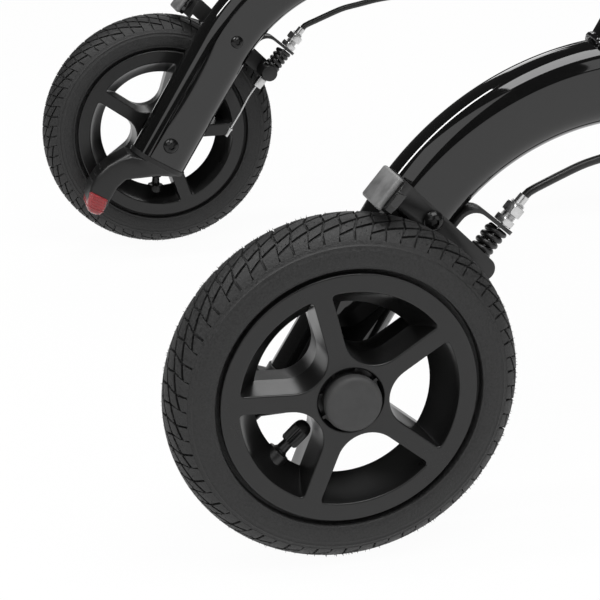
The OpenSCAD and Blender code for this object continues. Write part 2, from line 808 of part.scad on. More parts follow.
module brake_arm(s) {
    arm_x = wheel_x - arm_d;
    arm_back = pad_r * dir2(pad_angle) + [0, wheel_r] + (holder_t / 2 + arm_inset) * dir2(pad_lean - 90)
        + arm_rise * dir2(pad_lean);
    arm_front = [pull_y, wheel_r + pull_z] - lug_drop * dir2(pull_angle);
    color("#202124") placed(s) difference() {
        union() {
            plate_x(arm_x, arm_x + arm_t) bar2d(arm_back, arm_front, arm_r, arm_r);
            at_pad() box(arm_x, wheel_x + pad_w / 2, 0, holder_t, holder_rise, pad_h);
            translate([0, arm_front[0], arm_front[1]]) rod_x(lug_r, pull_x - lug_reach, arm_x + arm_t);
        }
        at_pivot() rod_x(pivot_r + run_gap, arm_x - overrun, arm_x + arm_t + overrun);
        at_pull() translate([0, 0, -lug_drop - 2 * lug_r]) cylinder(r = wire_r + clear, h = 4 * lug_r);
    }
}

module brake_pad(s) {
    color("#6d6f71") placed(s) at_pad()
        box(wheel_x - pad_w / 2, wheel_x + pad_w / 2, -pad_t, 0, 0, pad_h);
}

module brake_spring(s) {
    color("#151516") placed(s) at_pull() translate([0, 0, -bracket_t / 2 - clear - spring_l + spring_wire_r])
        sweep(spring_path, spring_wire_r, 6, [0, 0, 1]);
}

// Clamp below the lug, with the wire's free tail and its crimped end
module cable_clamp(s) {
    clamp_z = -lug_drop - lug_r - clamp_r - clear;
    color("#c9ccd0") placed(s) {
        at_pull() translate([0, 0, clamp_z]) rod_x(clamp_r, -clamp_l / 2, clamp_l / 2);
        sweep(spline(tail_route, 3), wire_r, 8, [1, 0, 0]);
        translate(tail_route[len(tail_route) - 1]) aim(leg_angle) translate([0, 0, -crimp_l])
            cylinder(r = crimp_r, h = crimp_l);
    }
}

// A cushion: rounded plan, drawn-in sides and a crowned top
function plan_point(w, d, r, k, n) =
    let (a = 360 * k / n, sx = cos(a) >= 0 ? 1 : -1, sy = sin(a) >= 0 ? 1 : -1)
    [sx * (w / 2 - r) + r * cos(a), sy * (d / 2 - r) + r * sin(a)];
module cushion(w, d, h, r, edge) {
    n = 40;
    rim_steps = 5;
    top_steps = 5;
    side = [for (i = [0:rim_steps]) let (a = -50 + 140 * i / rim_steps)
        [edge * (1 - cos(a)), edge * (sin(50) + sin(a)) * (h - edge / 2) / (edge * (1 + sin(50)))]];
    top = [for (i = [1:top_steps]) let (f = i / (top_steps + 1))
        [edge + f * (w / 2 - edge), h - edge / 2 + (edge / 2) * (1 - pow(1 - f, 2))]];
    rows = concat(side, top);
    points = concat(
        [for (row = rows, k = [0:n - 1]) let (f = 1 - 2 * row[0] / w, p = plan_point(w, d, r, k, n))
            [p[0] * f, p[1] * (1 - 2 * row[0] / max(w, d)), row[1]]],
        [[0, 0, h]]
    );
    last = (len(rows) - 1) * n;
    faces = concat(
        [for (i = [0:len(rows) - 2]) each band(i, n)],
        [for (k = [1:n - 2]) [0, k, k + 1]],
        [for (k = [0:n - 1]) [last + (k + 1) % n, last + k, len(points) - 1]]
    );
    polyhedron(points, faces);
}

// Half of a fold: a panel above its hinge plane, an outer barrel and its share of the middle hinge
module fold_half_panel(s, depth, thick, barrel_l, knuckle) {
    difference() {
        union() {
            box(middle_gap, fold_half - board_edge, -depth / 2, depth / 2, 0, thick);
            box(fold_half - board_edge - overrun, fold_half, -barrel_l / 2, barrel_l / 2, 0, leaf_t);
            translate([fold_half, 0, 0]) rod_y(barrel_r, -barrel_l / 2, barrel_l / 2);
            middle_knuckles(s, knuckle) {
                rod_y(barrel_r, 0, knuckle - clear);
                box(0, middle_gap + leaf_l, 0, knuckle - clear, -leaf_t, 0);
            }
        }
        translate([fold_half, 0, 0]) rod_y(pin_r + run_gap, -depth, depth);
        if (s > 0)
            rod_y(pin_r + run_gap, -depth, depth);
    }
    if (s < 0)
        rod_y(pin_r, -1.5 * knuckle, 1.5 * knuckle);
}

// The left half has the two outer knuckles of the middle hinge and the right half has the one between
module middle_knuckles(s, knuckle) {
    starts = s > 0 ? [(clear - knuckle) / 2] : [clear / 2 - 1.5 * knuckle, (clear + knuckle) / 2];
    for (y = starts)
        translate([0, y, 0]) children();
}

// Two ears and a pin on a side frame, about a hinge along Y
module hinge_ears(l, plate_h) {
    box(inner_x - plate_t, inner_x, -l / 2, l / 2, -plate_h / 2, plate_h / 2);
    for (y = [-l / 2, l / 2 - ear_t]) {
        translate([fold_half, 0, 0]) rod_y(ear_r, y, y + ear_t);
        box(fold_half, inner_x, y, y + ear_t, -flat_plate_h / 2, flat_plate_h / 2);
    }
    translate([fold_half, 0, 0]) rod_y(pin_r, -l / 2, l / 2);
}

// Turns a fold about Y into one about Z, with its panel on the front side
module stand_up() {
    rotate([-90, 0, 0]) children();
}

module pivot_brackets(s) {
    color("#3c3e42") placed(s) {
        translate([0, fold_y, seat_z]) hinge_ears(ears_l, seat_plate_h);
        translate([0, fold_y, rail_z]) hinge_ears(ears_l, flat_plate_h);
        translate([0, back_pivot_y, back_z]) stand_up() hinge_ears(back_ears_l, flat_plate_h);
    }
}

module seat_board(s) {
    color("#2a2b2e") placed(s) translate([0, fold_y, seat_z])
        fold_half_panel(s, seat_depth, board_t, ears_l - 2 * ear_t - 2 * clear, knuckle_l);
}

module seat_pad(s) {
    w = fold_half - board_edge - middle_gap - pad_inset;
    color("#1d1e21") placed(s) translate([middle_gap + w / 2 + pad_inset / 2, fold_y, seat_z + board_t])
        cushion(w, seat_depth - pad_inset, pad_crown, cushion_corner_r, cushion_edge_r);
}

module spreader(s) {
    color("#17181a") placed(s) translate([0, fold_y, rail_z])
        fold_half_panel(s, spreader_depth, spreader_t, ears_l - 2 * ear_t - 2 * clear, spreader_depth / 3);
}

module backrest(s) {
    color("#1d1e21") placed(s) translate([0, back_pivot_y, back_z]) stand_up()
        fold_half_panel(s, back_h, back_t, back_ears_l - 2 * ear_t - 2 * clear, back_h / 3);
}

for (side = SIDES) {
    name = side[0];
    s = side[1];
    arch(s);
    upright(s);
    head(s);
    toe(s);
    reflector(s);
    bolts(s);
    brake_bracket(s);
    adjuster(s);
    cable(s);
    collar(s);
    knob(s);
    pivot_brackets(s);
    rear_rim(s);
    rear_tyre(s);
    rear_bearings(s);
    hub_cap(s);
    fork(s);
    front_rim(s);
    front_tyre(s);
    brake_arm(s);
    brake_pad(s);
    brake_spring(s);
    cable_clamp(s);
    handle_post(s);
    grip(s);
    lever(s);
    seat_board(s);
    seat_pad(s);
    spreader(s);
    backrest(s);
}
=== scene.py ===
# %% [markdown]
# # An all terrain rollator, dressed around its frame
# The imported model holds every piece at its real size. This notebook gives each piece its finished shape and
# surface, in the same place. It works in metres, with +X to the walker's right, +Y forward and +Z up.

# %% Load the frame
import json
import math
import random

import bpy
import numpy as np
from mathutils import Matrix, Vector


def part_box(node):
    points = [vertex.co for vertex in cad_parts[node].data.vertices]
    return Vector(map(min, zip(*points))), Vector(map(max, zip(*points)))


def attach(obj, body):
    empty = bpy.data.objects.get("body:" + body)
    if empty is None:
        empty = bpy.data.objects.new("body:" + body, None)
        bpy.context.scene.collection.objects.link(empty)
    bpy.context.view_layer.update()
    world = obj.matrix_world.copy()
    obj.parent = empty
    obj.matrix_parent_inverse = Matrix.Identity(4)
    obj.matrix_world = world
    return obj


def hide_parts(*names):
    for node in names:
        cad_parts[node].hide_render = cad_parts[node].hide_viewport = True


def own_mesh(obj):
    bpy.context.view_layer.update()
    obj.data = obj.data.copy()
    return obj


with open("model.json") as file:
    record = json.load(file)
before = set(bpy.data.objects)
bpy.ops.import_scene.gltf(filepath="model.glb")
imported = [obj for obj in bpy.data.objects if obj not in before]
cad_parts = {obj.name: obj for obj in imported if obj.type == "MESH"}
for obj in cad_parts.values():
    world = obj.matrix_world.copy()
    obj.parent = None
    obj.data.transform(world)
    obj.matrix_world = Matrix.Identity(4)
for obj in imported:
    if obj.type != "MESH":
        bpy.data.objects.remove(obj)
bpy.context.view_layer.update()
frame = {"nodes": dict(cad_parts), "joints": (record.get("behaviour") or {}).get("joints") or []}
scene = bpy.context.scene
mm = 0.001
merge_gap = 0.004 * mm
SIDES = {"left": -1, "right": 1}
places = {j["name"]: Vector(j["pos_m"]) for j in frame["joints"] if "pos_m" in j}
rear_axle = places["rear_wheel_right_spin"]
front_axle = places["front_wheel_right_spin"]
swivel = places["caster_right_swivel"]
brake_pivot = places["brake_arm_right_swing"]
knob_place = places["height_knob_right_turn"]
side_x = swivel.x

# %% [markdown]
# ## Camera
# The photograph looks from behind and to the right, down at the two rear wheels. A camera fitted to both
# wheel circles gives the place and the lens, so the render can be laid over the photograph.

# %% Camera
camera_place = Vector((1.1262, rear_axle.y - 0.2338, 0.4640))
camera_forward = Vector((-0.91122, 0.23059, -0.34134))
sensor_w = 36
focal_px = 1702.75
frame_px = 600
camera = bpy.data.objects.new("camera", bpy.data.cameras.new("camera"))
camera.data.sensor_width = sensor_w
camera.data.lens = sensor_w * focal_px / frame_px
camera.data.clip_end = 50
camera.location = camera_place
camera.rotation_euler = camera_forward.to_track_quat("-Z", "Y").to_euler()
scene.collection.objects.link(camera)
scene.camera = camera
print("camera lens:", round(camera.data.lens, 1), "mm")

# %% [markdown]
# ## Hand tools
# Small helpers stand for what a hand does in the viewport: pick one object, go into edit mode, add a modifier
# and apply it. Pieces are made for the right side, then copied across, because the two sides mirror each
# other. Profiles are written in millimetres and turned into metres by one helper.


# %% Selecting, editing and finishing
def only(obj):
    bpy.ops.object.select_all(action="DESELECT")
    obj.select_set(True)
    bpy.context.view_layer.objects.active = obj
    return obj


def edit(obj, select=True):
    only(obj)
    bpy.ops.object.mode_set(mode="EDIT")
    bpy.ops.mesh.select_all(action="SELECT" if select else "DESELECT")


def leave():
    bpy.ops.object.mode_set(mode="OBJECT")


def in_mm(*points):
    """Points written in millimetres, in metres."""
    return [tuple(v * mm for v in point) for point in points]


def from_points(name, points, edges=(), faces=()):
    mesh = bpy.data.meshes.new(name)
    mesh.from_pydata([tuple(p) for p in points], list(edges), [tuple(f) for f in faces])
    obj = bpy.data.objects.new(name, mesh)
    scene.collection.objects.link(obj)
    return only(obj)


def modify(obj, kind, **settings):
    only(obj)
    modifier = obj.modifiers.new(kind.lower(), kind)
    for key, value in settings.items():
        setattr(modifier, key, value)
    bpy.ops.object.modifier_apply(modifier=modifier.name)
    return obj


def ease(obj, width, segments=2, angle=30):
    return modify(obj, "BEVEL", width=width, segments=segments, limit_method="ANGLE",
                  angle_limit=math.radians(angle))


def smooth(obj, angle=35):
    only(obj)
    bpy.ops.object.shade_smooth_by_angle(angle=math.radians(angle))
    return obj


def tidy(obj):
    edit(obj)
    bpy.ops.mesh.remove_doubles(threshold=merge_gap)
    bpy.ops.mesh.normals_make_consistent(inside=False)
    leave()
    return obj


def join(first, *others):
    bpy.ops.object.select_all(action="DESELECT")
    for obj in (first, *others):
        obj.select_set(True)
    bpy.context.view_layer.objects.active = first
    bpy.ops.object.join()
    return first


def twin(obj):
    copy = obj.copy()
    copy.data = obj.data.copy()
    scene.collection.objects.link(copy)
    return copy


def place(obj, matrix):
    obj.data.transform(matrix)
    if matrix.determinant() < 0:
        obj.data.flip_normals()
    return obj


def fit(obj, name, body, slot, material, *nodes):
    obj.name = obj.data.name = name
    obj.data.materials.clear()
    obj.data.materials.append(material)
    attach(obj, body)
    if nodes:
        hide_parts(*nodes)
    return obj


def fit_both(obj, name, body, slot, material, *nodes):
    left = place(twin(obj), Matrix.Scale(-1, 4, (1, 0, 0)))
    for piece, side in ((obj, "right"), (left, "left")):
        fit(piece, f"{name}_{side}", f"{body}_{side}", slot, material, *(f"{n}_{side}" for n in nodes))
    print(name + ":", len(obj.data.polygons), "faces a side")
    return obj, left


def turned(name, profile, steps=64):
    """Spin a profile of (along X, radius) points about the X axis."""
    points = [(along, radius, 0) for along, radius in profile]
    obj = from_points(name, points, [(i, i + 1) for i in range(len(points) - 1)])
    edit(obj)
    bpy.ops.mesh.spin(steps=steps, angle=2 * math.pi, center=(0, 0, 0), axis=(1, 0, 0))
    leave()
    return tidy(obj)


def lathe(name, steps, angle, *points):
    """A turned piece from a profile in millimetres, shaded smooth up to an angle."""
    return smooth(turned(name, in_mm(*points), steps), angle)


def arc(centre, radius, start, end, steps):
    """Points on an arc between two angles in degrees, both ends included."""
    turns = [math.radians(start + (end - start) * i / steps) for i in range(steps + 1)]
    return [(centre[0] + radius * math.cos(a), centre[1] + radius * math.sin(a)) for a in turns]


def meshed(obj):
    only(obj)
    bpy.ops.object.convert(target="MESH")
    return bpy.context.object


def poly_curve(name, lines, closed, **settings):
    """A curve object with one spline of straight steps for each line of points."""
    curve = bpy.data.curves.new(name, "CURVE")
    for key, value in settings.items():
        setattr(curve, key, value)
    for line in lines:
        spline = curve.splines.new("POLY")
        spline.points.add(len(line) - 1)
        spline.use_cyclic_u = closed
        for point, spot in zip(spline.points, line):
            point.co = (*spot, 1)
    obj = bpy.data.objects.new(name, curve)
    scene.collection.objects.link(obj)
    return obj


def swept(name, lines, radius, resolution, closed=False, caps=False):
    """A round cord along each line of points, still a curve."""
    return poly_curve(name, lines, closed, dimensions="3D", bevel_depth=radius, bevel_resolution=resolution,
                      use_fill_caps=caps)


def flat_sheet(name, outlines):
    """Fill closed outlines in the XY plane, the later ones cut from the first."""
    lines = [[(x, y, 0) for x, y in outline] for outline in outlines]
    obj = tidy(meshed(poly_curve(name, lines, True, dimensions="2D", fill_mode="BOTH")))
    if sum(f.normal.z for f in obj.data.polygons) < 0:
        obj.data.flip_normals()
    return obj


def loft(name, rings):
    """Join closed rings of the same number of points by a skin."""
    count = len(rings[0])
    faces = []
    for k in range(len(rings) - 1):
        near, far = k * count, (k + 1) * count
        faces += [(near + i, near + (i + 1) % count, far + (i + 1) % count, far + i) for i in range(count)]
    return from_points(name, [p for ring in rings for p in ring], (), faces)


def closed_loft(name, rings):
    """A loft with both its ends filled."""
    obj = loft(name, rings)
    edit(obj)
    bpy.ops.mesh.fill_holes(sides=0)
    leave()
    return tidy(obj)


def lengths(points):
    """How far along a line each of its points lies."""
    return np.cumsum([0] + [(q - p).length for p, q in zip(points, points[1:])])


def spots(points, marks):
    """Places on a line of points, at given lengths along it."""
    reach = lengths(points)
    return np.column_stack([np.interp(marks, reach, [p[axis] for p in points]) for axis in range(3)])


ACROSS = Matrix(((0, 0, 1, 0), (1, 0, 0, 0), (0, 1, 0, 0), (0, 0, 0, 1)))
print("helpers ready")

# %% [markdown]
# ## Shared surface effects
# Real surfaces are never one colour. Two effects repeat over most of the materials: a mottle, which shifts
# colour and gloss in soft patches, and a fine grain, which roughens the surface. Each is one node group.


# %% Node groups
def new_group(name, inputs, outputs):
    group = bpy.data.node_groups.new(name, "ShaderNodeTree")
    for label, kind, value in inputs:
        socket = group.interface.new_socket(label, in_out="INPUT", socket_type=kind)
        socket.default_value = value
    for label, kind in outputs:
        group.interface.new_socket(label, in_out="OUTPUT", socket_type=kind)
    enter = group.nodes.new("NodeGroupInput")
    out = group.nodes.new("NodeGroupOutput")
    return group, enter.outputs, out.inputs


def add(tree, kind, **settings):
    node = tree.nodes.new(kind)
    for key, value in settings.items():
        if key in node.inputs:
            node.inputs[key].default_value = value
        else:
            setattr(node, key, value)
    return node


COLOUR_A, COLOUR_B, COLOUR_OUT = 6, 7, 2
FLOAT_A, FLOAT_B = 2, 3
patch_range = (0.32, 0.7)


def mottle_group():
    group, enter, out = new_group(
        "mottle",
        [("Vector", "NodeSocketVector", (0, 0, 0)), ("Dark", "NodeSocketColor", (0, 0, 0, 1)),
         ("Light", "NodeSocketColor", (1, 1, 1, 1)), ("Size", "NodeSocketFloat", 40),
         ("Rough Low", "NodeSocketFloat", 0.3), ("Rough High", "NodeSocketFloat", 0.5)],
        [("Color", "NodeSocketColor"), ("Roughness", "NodeSocketFloat")])
    noise = add(group, "ShaderNodeTexNoise", Detail=6, Roughness=0.6)
    ramp = add(group, "ShaderNodeMapRange")
    ramp.inputs["From Min"].default_value, ramp.inputs["From Max"].default_value = patch_range
    mix = add(group, "ShaderNodeMix", data_type="RGBA")
    rough = add(group, "ShaderNodeMapRange")
    link = group.links.new
    link(enter["Vector"], noise.inputs["Vector"])
    link(enter["Size"], noise.inputs["Scale"])
    link(noise.outputs["Fac"], ramp.inputs["Value"])
    link(ramp.outputs["Result"], mix.inputs["Factor"])
    link(enter["Dark"], mix.inputs[COLOUR_A])
    link(enter["Light"], mix.inputs[COLOUR_B])
    link(ramp.outputs["Result"], rough.inputs["Value"])
    link(enter["Rough Low"], rough.inputs["To Min"])
    link(enter["Rough High"], rough.inputs["To Max"])
    link(mix.outputs[COLOUR_OUT], out["Color"])
    link(rough.outputs["Result"], out["Roughness"])
    return group


def grain_group():
    group, enter, out = new_group(
        "grain",
        [("Vector", "NodeSocketVector", (0, 0, 0)), ("Fine", "NodeSocketFloat", 900),
         ("Coarse", "NodeSocketFloat", 120), ("Share", "NodeSocketFloat", 0.35)],
        [("Height", "NodeSocketFloat")])
    fine = add(group, "ShaderNodeTexVoronoi", feature="SMOOTH_F1", Smoothness=0.6)
    coarse = add(group, "ShaderNodeTexNoise", Detail=4)
    mix = add(group, "ShaderNodeMix", data_type="FLOAT")
    link = group.links.new
    link(enter["Vector"], fine.inputs["Vector"])
    link(enter["Fine"], fine.inputs["Scale"])
    link(enter["Vector"], coarse.inputs["Vector"])
    link(enter["Coarse"], coarse.inputs["Scale"])
    link(enter["Share"], mix.inputs[0])
    link(fine.outputs["Distance"], mix.inputs[FLOAT_A])
    link(coarse.outputs["Fac"], mix.inputs[FLOAT_B])
    link(mix.outputs[0], out["Height"])
    return group


def weave_group():
    """Threads that cross on any face: three sets of ribs, of which two show."""
    group, enter, out = new_group(
        "weave", [("Vector", "NodeSocketVector", (0, 0, 0)), ("Threads", "NodeSocketFloat", 260)],
        [("Height", "NodeSocketFloat")])
    link = group.links.new
    total = None
    for axis in "XYZ":
        ribs = add(group, "ShaderNodeTexWave", wave_type="BANDS", bands_direction=axis, wave_profile="SIN",
                   Distortion=0.25)
        link(enter["Vector"], ribs.inputs["Vector"])
        link(enter["Threads"], ribs.inputs["Scale"])
        if total is None:
            total = ribs.outputs["Fac"]
            continue
        both = add(group, "ShaderNodeMath", operation="ADD")
        link(total, both.inputs[0])
        link(ribs.outputs["Fac"], both.inputs[1])
        total = both.outputs[0]
    share = add(group, "ShaderNodeMath", operation="DIVIDE")
    share.inputs[1].default_value = len("XYZ")
    link(total, share.inputs[0])
    link(share.outputs[0], out["Height"])
    return group


MOTTLE = mottle_group()
GRAIN = grain_group()
WEAVE = weave_group()
print("node groups:", MOTTLE.name, GRAIN.name, WEAVE.name)

# %% [markdown]
# ## Finishes
# One function makes them all: a Principled shader whose colour and gloss come from the mottle, and whose
# relief comes from the grain. What is the same all over a surface, such as its coat, is set on the shader.


# %% Materials
def grey(value):
    return (value, value, value, 1)


def finish(name, dark, light, rough, size=40, grain=(900, 120, 0.35), relief=0.1, depth=0.05 * mm,
           **constants):
    material = bpy.data.materials.new(name)
    material.use_nodes = True
    tree = material.node_tree
    shader = tree.nodes["Principled BSDF"]
    coords = add(tree, "ShaderNodeTexCoord")
    mottle = add(tree, "ShaderNodeGroup", node_tree=MOTTLE)
    speckle = add(tree, "ShaderNodeGroup", node_tree=GRAIN)
    bump = add(tree, "ShaderNodeBump", Strength=relief, Distance=depth)
    labels = ("Dark", "Light", "Size", "Rough Low", "Rough High")
    for label, value in zip(labels, (dark, light, size, *rough)):
        mottle.inputs[label].default_value = value
    for label, value in zip(("Fine", "Coarse", "Share"), grain):
        speckle.inputs[label].default_value = value
    for label, value in constants.items():
        shader.inputs[label.replace("_", " ")].default_value = value
    link = tree.links.new
    link(coords.outputs["Object"], mottle.inputs["Vector"])
    link(coords.outputs["Object"], speckle.inputs["Vector"])
    link(mottle.outputs["Color"], shader.inputs["Base Color"])
    link(mottle.outputs["Roughness"], shader.inputs["Roughness"])
    link(speckle.outputs["Height"], bump.inputs["Height"])
    link(bump.outputs["Normal"], shader.inputs["Normal"])
    return material


gloss_paint = finish("gloss_paint", grey(0.003), grey(0.005), (0.03, 0.07), size=18, grain=(260, 60, 0.5),
                     relief=0.02, Coat_Weight=0.3, Coat_Roughness=0.03)
satin_black = finish("satin_black", grey(0.010), grey(0.016), (0.32, 0.45), relief=0.15)
rim_plastic = finish("rim_plastic", grey(0.006), grey(0.009), (0.27, 0.36), size=30, grain=(2200, 300, 0.3),
                     relief=0.22)
toe_plastic = finish("toe_plastic", grey(0.005), grey(0.008), (0.34, 0.46), relief=0.25)
cap_plastic = finish("cap_plastic", grey(0.040), grey(0.056), (0.55, 0.7), size=160, grain=(1500, 260, 0.4),
                     relief=0.4)
tyre_rubber = finish("tyre_rubber", grey(0.003), grey(0.030), (0.45, 0.75), size=750, grain=(1000, 210, 0.3),
                     relief=0.8, depth=0.3 * mm)
# Painted reflection: this light grey stands in for a lamp mirrored on the brake block's black coat, not for
# the block's own colour.
painted_reflection_grey = finish("painted_reflection_grey", grey(0.10), grey(0.24), (0.4, 0.6), size=70, grain=(1600, 90, 0.6), relief=0.3)
gloss_collar = finish("gloss_collar", grey(0.004), grey(0.007), (0.06, 0.12), size=60, relief=0.03,
                      Coat_Weight=0.4)
grip_rubber = finish("grip_rubber", grey(0.012), grey(0.018), (0.7, 0.85), relief=0.4)
zinc = finish("zinc", grey(0.55), grey(0.72), (0.22, 0.38), size=300, relief=0.12, Metallic=1)
black_bolt = finish("black_bolt", grey(0.010), grey(0.022), (0.18, 0.3), size=300, relief=0.1, Metallic=0.6)
jacket = finish("jacket", grey(0.008), grey(0.012), (0.3, 0.42), relief=0.1)
spring_black = finish("spring_black", grey(0.010), grey(0.016), (0.25, 0.38), relief=0.1)
red_lens = finish("red_lens", (0.24, 0.010, 0.014, 1), (0.34, 0.018, 0.023, 1), (0.34, 0.46), size=200,
                  relief=0.05, Coat_Weight=0.5)
post_metal = finish("post_metal", grey(0.42), grey(0.52), (0.28, 0.36), size=90, grain=(1800, 500, 0.4),
                    relief=0.08, Metallic=1)


thread_shade = 0.55


def woven(name, dark, light, threads, relief, depth=0.3 * mm, **constants):
    """Cloth: the mottle shifts the colour, and the crossing threads shade and raise it."""
    material = finish(name, dark, light, (0.82, 0.94), size=60, relief=relief, depth=depth, **constants)
    tree = material.node_tree
    shader = tree.nodes["Principled BSDF"]
    bump = tree.nodes["Bump"]
    coords = tree.nodes["Texture Coordinate"]
    weave = add(tree, "ShaderNodeGroup", node_tree=WEAVE)
    weave.inputs["Threads"].default_value = threads
    shade = add(tree, "ShaderNodeMix", data_type="RGBA", blend_type="MULTIPLY")
    shade.inputs[0].default_value = thread_shade
    colour = shader.inputs["Base Color"].links[0].from_socket
    link = tree.links.new
    link(coords.outputs["Object"], weave.inputs["Vector"])
    link(colour, shade.inputs[COLOUR_A])
    link(weave.outputs["Height"], shade.inputs[COLOUR_B])
    link(shade.outputs[COLOUR_OUT], shader.inputs["Base Color"])
    link(weave.outputs["Height"], bump.inputs["Height"])
    return material


seat_cloth = woven("seat_cloth", grey(0.020), grey(0.030), 240, 0.6, Sheen_Weight=0.15)
piping_cloth = woven("piping_cloth", grey(0.012), grey(0.018), 420, 0.4)
thread_grey = woven("thread_grey", grey(0.12), grey(0.16), 900, 0.3)
print("finishes:", len(bpy.data.materials))

# %% [markdown]
# ## Tyres
# Each tyre is a round casing with raised blocks. Slanted columns and diagonals part the blocks over the
# crown, and a row of longer lugs stands on each shoulder. Every block is modelled flat, then wrapped round
# the casing. That keeps the corners crisp, where a bump would not. Short threads stand where the mould had
# its vents.

# %% Tyre sizes
wheel_r = 100 * mm
section_r = 20 * mm
ring_r = wheel_r - section_r
columns = 68
column_step = 2 * math.pi * wheel_r / columns
row_step = 3.5 * mm
column_lean = 0.22
column_jog = 0.9 * mm
lug_end = 20.8 * mm
lug_overlap = 1.4 * mm
groove = 1.25 * mm
tread_depth = 1.6 * mm
block_edge, edge_share = 0.3 * mm, 0.045
casing_steps = 112
shoulder_drop, shoulder_blend = 0.12 * mm, 1.5
ridge_leans, ridge_high, ridge_wide = (69, 77), 0.5 * mm, 0.9
bead_step, bead_groove, bead_wide = 101.5, 0.45 * mm, 1.3
bead_angle = 104
whisker_count = 700
whisker_r = 0.26 * mm
print("tyre sizes:", columns, "columns of blocks,", round(2 * wheel_r, 3), "m across")


# %% Wrap, blocks and casing
def wrap(points):
    """Wrap (along, across, height above the casing) points round the tyre, axle along X."""
    along, across, high = np.asarray(points).T
    turn, lean = along / wheel_r, across / section_r
    reach = ring_r + (section_r + high) * np.cos(lean)
    side = (section_r + high) * np.sin(lean)
    return np.column_stack([side, reach * np.cos(turn), reach * np.sin(turn)])


def block(corners):
    """A raised block on four corners, gridded so that it can bend, with eased top edges."""
    bpy.ops.mesh.primitive_grid_add(x_subdivisions=3, y_subdivisions=3, size=2)
    obj = bpy.context.object
    edit(obj)
    bpy.ops.mesh.extrude_region_move(TRANSFORM_OT_translate={"value": (0, 0, tread_depth)})
    bpy.ops.mesh.inset(thickness=edge_share, depth=block_edge)
    leave()
    a, b, c, d = (np.array(p) for p in corners)
    for vertex in obj.data.vertices:
        u, v = (vertex.co.x + 1) / 2, (vertex.co.y + 1) / 2
        spot = (1 - u) * (1 - v) * a + u * (1 - v) * b + u * v * c + (1 - u) * v * d
        vertex.co = (*spot, vertex.co.z - tread_depth - block_edge)
    points = np.array([v.co for v in obj.data.vertices])
    faces = [tuple(p.vertices) for p in obj.data.polygons if p.normal.z > -0.9]
    bpy.data.objects.remove(obj)
    return points, faces


def shrink(corners, gap):
    """Move a block's corners in, so that a groove is left between it and its neighbours."""
    corners = [np.array(c, float) for c in corners]
    moved = []
    for i, corner in enumerate(corners):
        before = corners[i - 1] - corner
        after = corners[(i + 1) % len(corners)] - corner
        before, after = before / np.linalg.norm(before), after / np.linalg.norm(after)
        half_sine = math.sqrt(max(1e-6, (1 - float(before @ after)) / 2))
        moved.append(corner + gap / half_sine * (before + after) / np.linalg.norm(before + after))
    return moved


def tread():
    """All the blocks of one tyre, column by column, with lugs at both ends."""
    tip = lug_end + lug_overlap
    points, faces = [], []

    def cross(column, across):
        """Where a column meets a diagonal. Columns jog to and fro, so that no groove runs straight across."""
        jog = 0
        if abs(across) < tip:
            jog = column_jog * (-1) ** round((5 * row_step - across) / (2 * row_step) - 0.25)
        return (across * column_lean - column * column_step + jog, across)

    def put(column, low, high):
        """A block between two columns, from the diagonal at low to the one at high, each as (this, next)."""
        corners = [cross(column + 1, low[1]), cross(column, low[0]),
                   cross(column, high[0]), cross(column + 1, high[1])]
        shape = block(shrink(corners, groove / 2))
        first = sum(len(p) for p in points)
        points.append(wrap(shape[0]))
        faces.extend(tuple(first + i for i in face) for face in shape[1])

    for column in range(columns):
        starts = (5, 3, 1, -1, -3) if column % 2 else (4, 2, 0, -2, -4)
        diagonals = [(start * row_step, (start - 1) * row_step) for start in starts]
        put(column, diagonals[0], (tip, tip))
        for upper, lower in zip(diagonals, diagonals[1:]):
            put(column, lower, upper)
        put(column, (-tip, -tip), diagonals[-1])
    return np.vstack(points), faces


def casing_profile():
    """Section of the casing as (across X, radius): groove floor, shoulders, two fine ridges, beads."""
    profile = []
    shoulder = math.degrees(lug_end / section_r)
    for i in range(-casing_steps, casing_steps + 1):
        lean = i * bead_angle / casing_steps
        step = (abs(lean) - shoulder + shoulder_blend) / shoulder_blend
        floor_drop = (tread_depth - shoulder_drop) * (1 - min(max(step, 0), 1))
        radius = section_r - (shoulder_drop + floor_drop)
        for ridge in ridge_leans:
            radius += ridge_high * math.exp(-(((abs(lean) - ridge) / ridge_wide) ** 2))
        radius -= bead_groove * math.exp(-(((abs(lean) - bead_step) / bead_wide) ** 2))
        lean = math.radians(lean)
        profile.append((radius * math.sin(lean), ring_r + radius * math.cos(lean)))
    lip = in_mm((18.9, 74.9), (17, 75), (13.6, 74.6), (12.8, 68.6))
    near = [(-x, r) for x, r in reversed(lip)]
    return [*near, *profile[::2], *lip, near[0]]


def whiskers():
    """Short rubber threads left by the mould's vents, none long enough to touch the floor."""
    draw = random.Random(8)
    points, faces = [], []
    for _ in range(whisker_count):
        along = draw.uniform(0, 2 * math.pi) * wheel_r
        across = draw.uniform(4, 17) * draw.choice((-1, 1)) * mm
        clear = section_r * (1 - math.cos(across / section_r))
        high = min(draw.uniform(0.7, 1.5) * mm, clear)
        tilt = draw.uniform(-0.4, 0.4) * mm
        first = len(points)
        r = whisker_r
        points += [(along - r, across - r, -r), (along + r, across - r, -r), (along, across + r, -r),
                   (along + tilt, across - tilt, high)]
        corners = ((0, 1, 3), (1, 2, 3), (2, 0, 3), (2, 1, 0))
        faces += [tuple(first + i for i in corner) for corner in corners]
    return wrap(points), faces


def make_tyre():
    casing = smooth(turned("casing", casing_profile(), steps=180), 50)
    points, faces = tread()
    blocks = smooth(from_points("blocks", points, (), faces), 30)
    points, faces = whiskers()
    return join(casing, blocks, from_points("threads", points, (), faces))


tyre = make_tyre()
print("tyre:", len(tyre.data.polygons), "faces")

# %% [markdown]
# ## Rims
# The rim is one moulding: a face with five windows, drafted both ways from a parting line in the middle. It
# could be built from a ring, a hub and five bars, but then the blends at the hub would be lost. So the face
# is drawn flat with its windows, each outline is lofted down with its draft and rounded edge, and the half
# is mirrored.

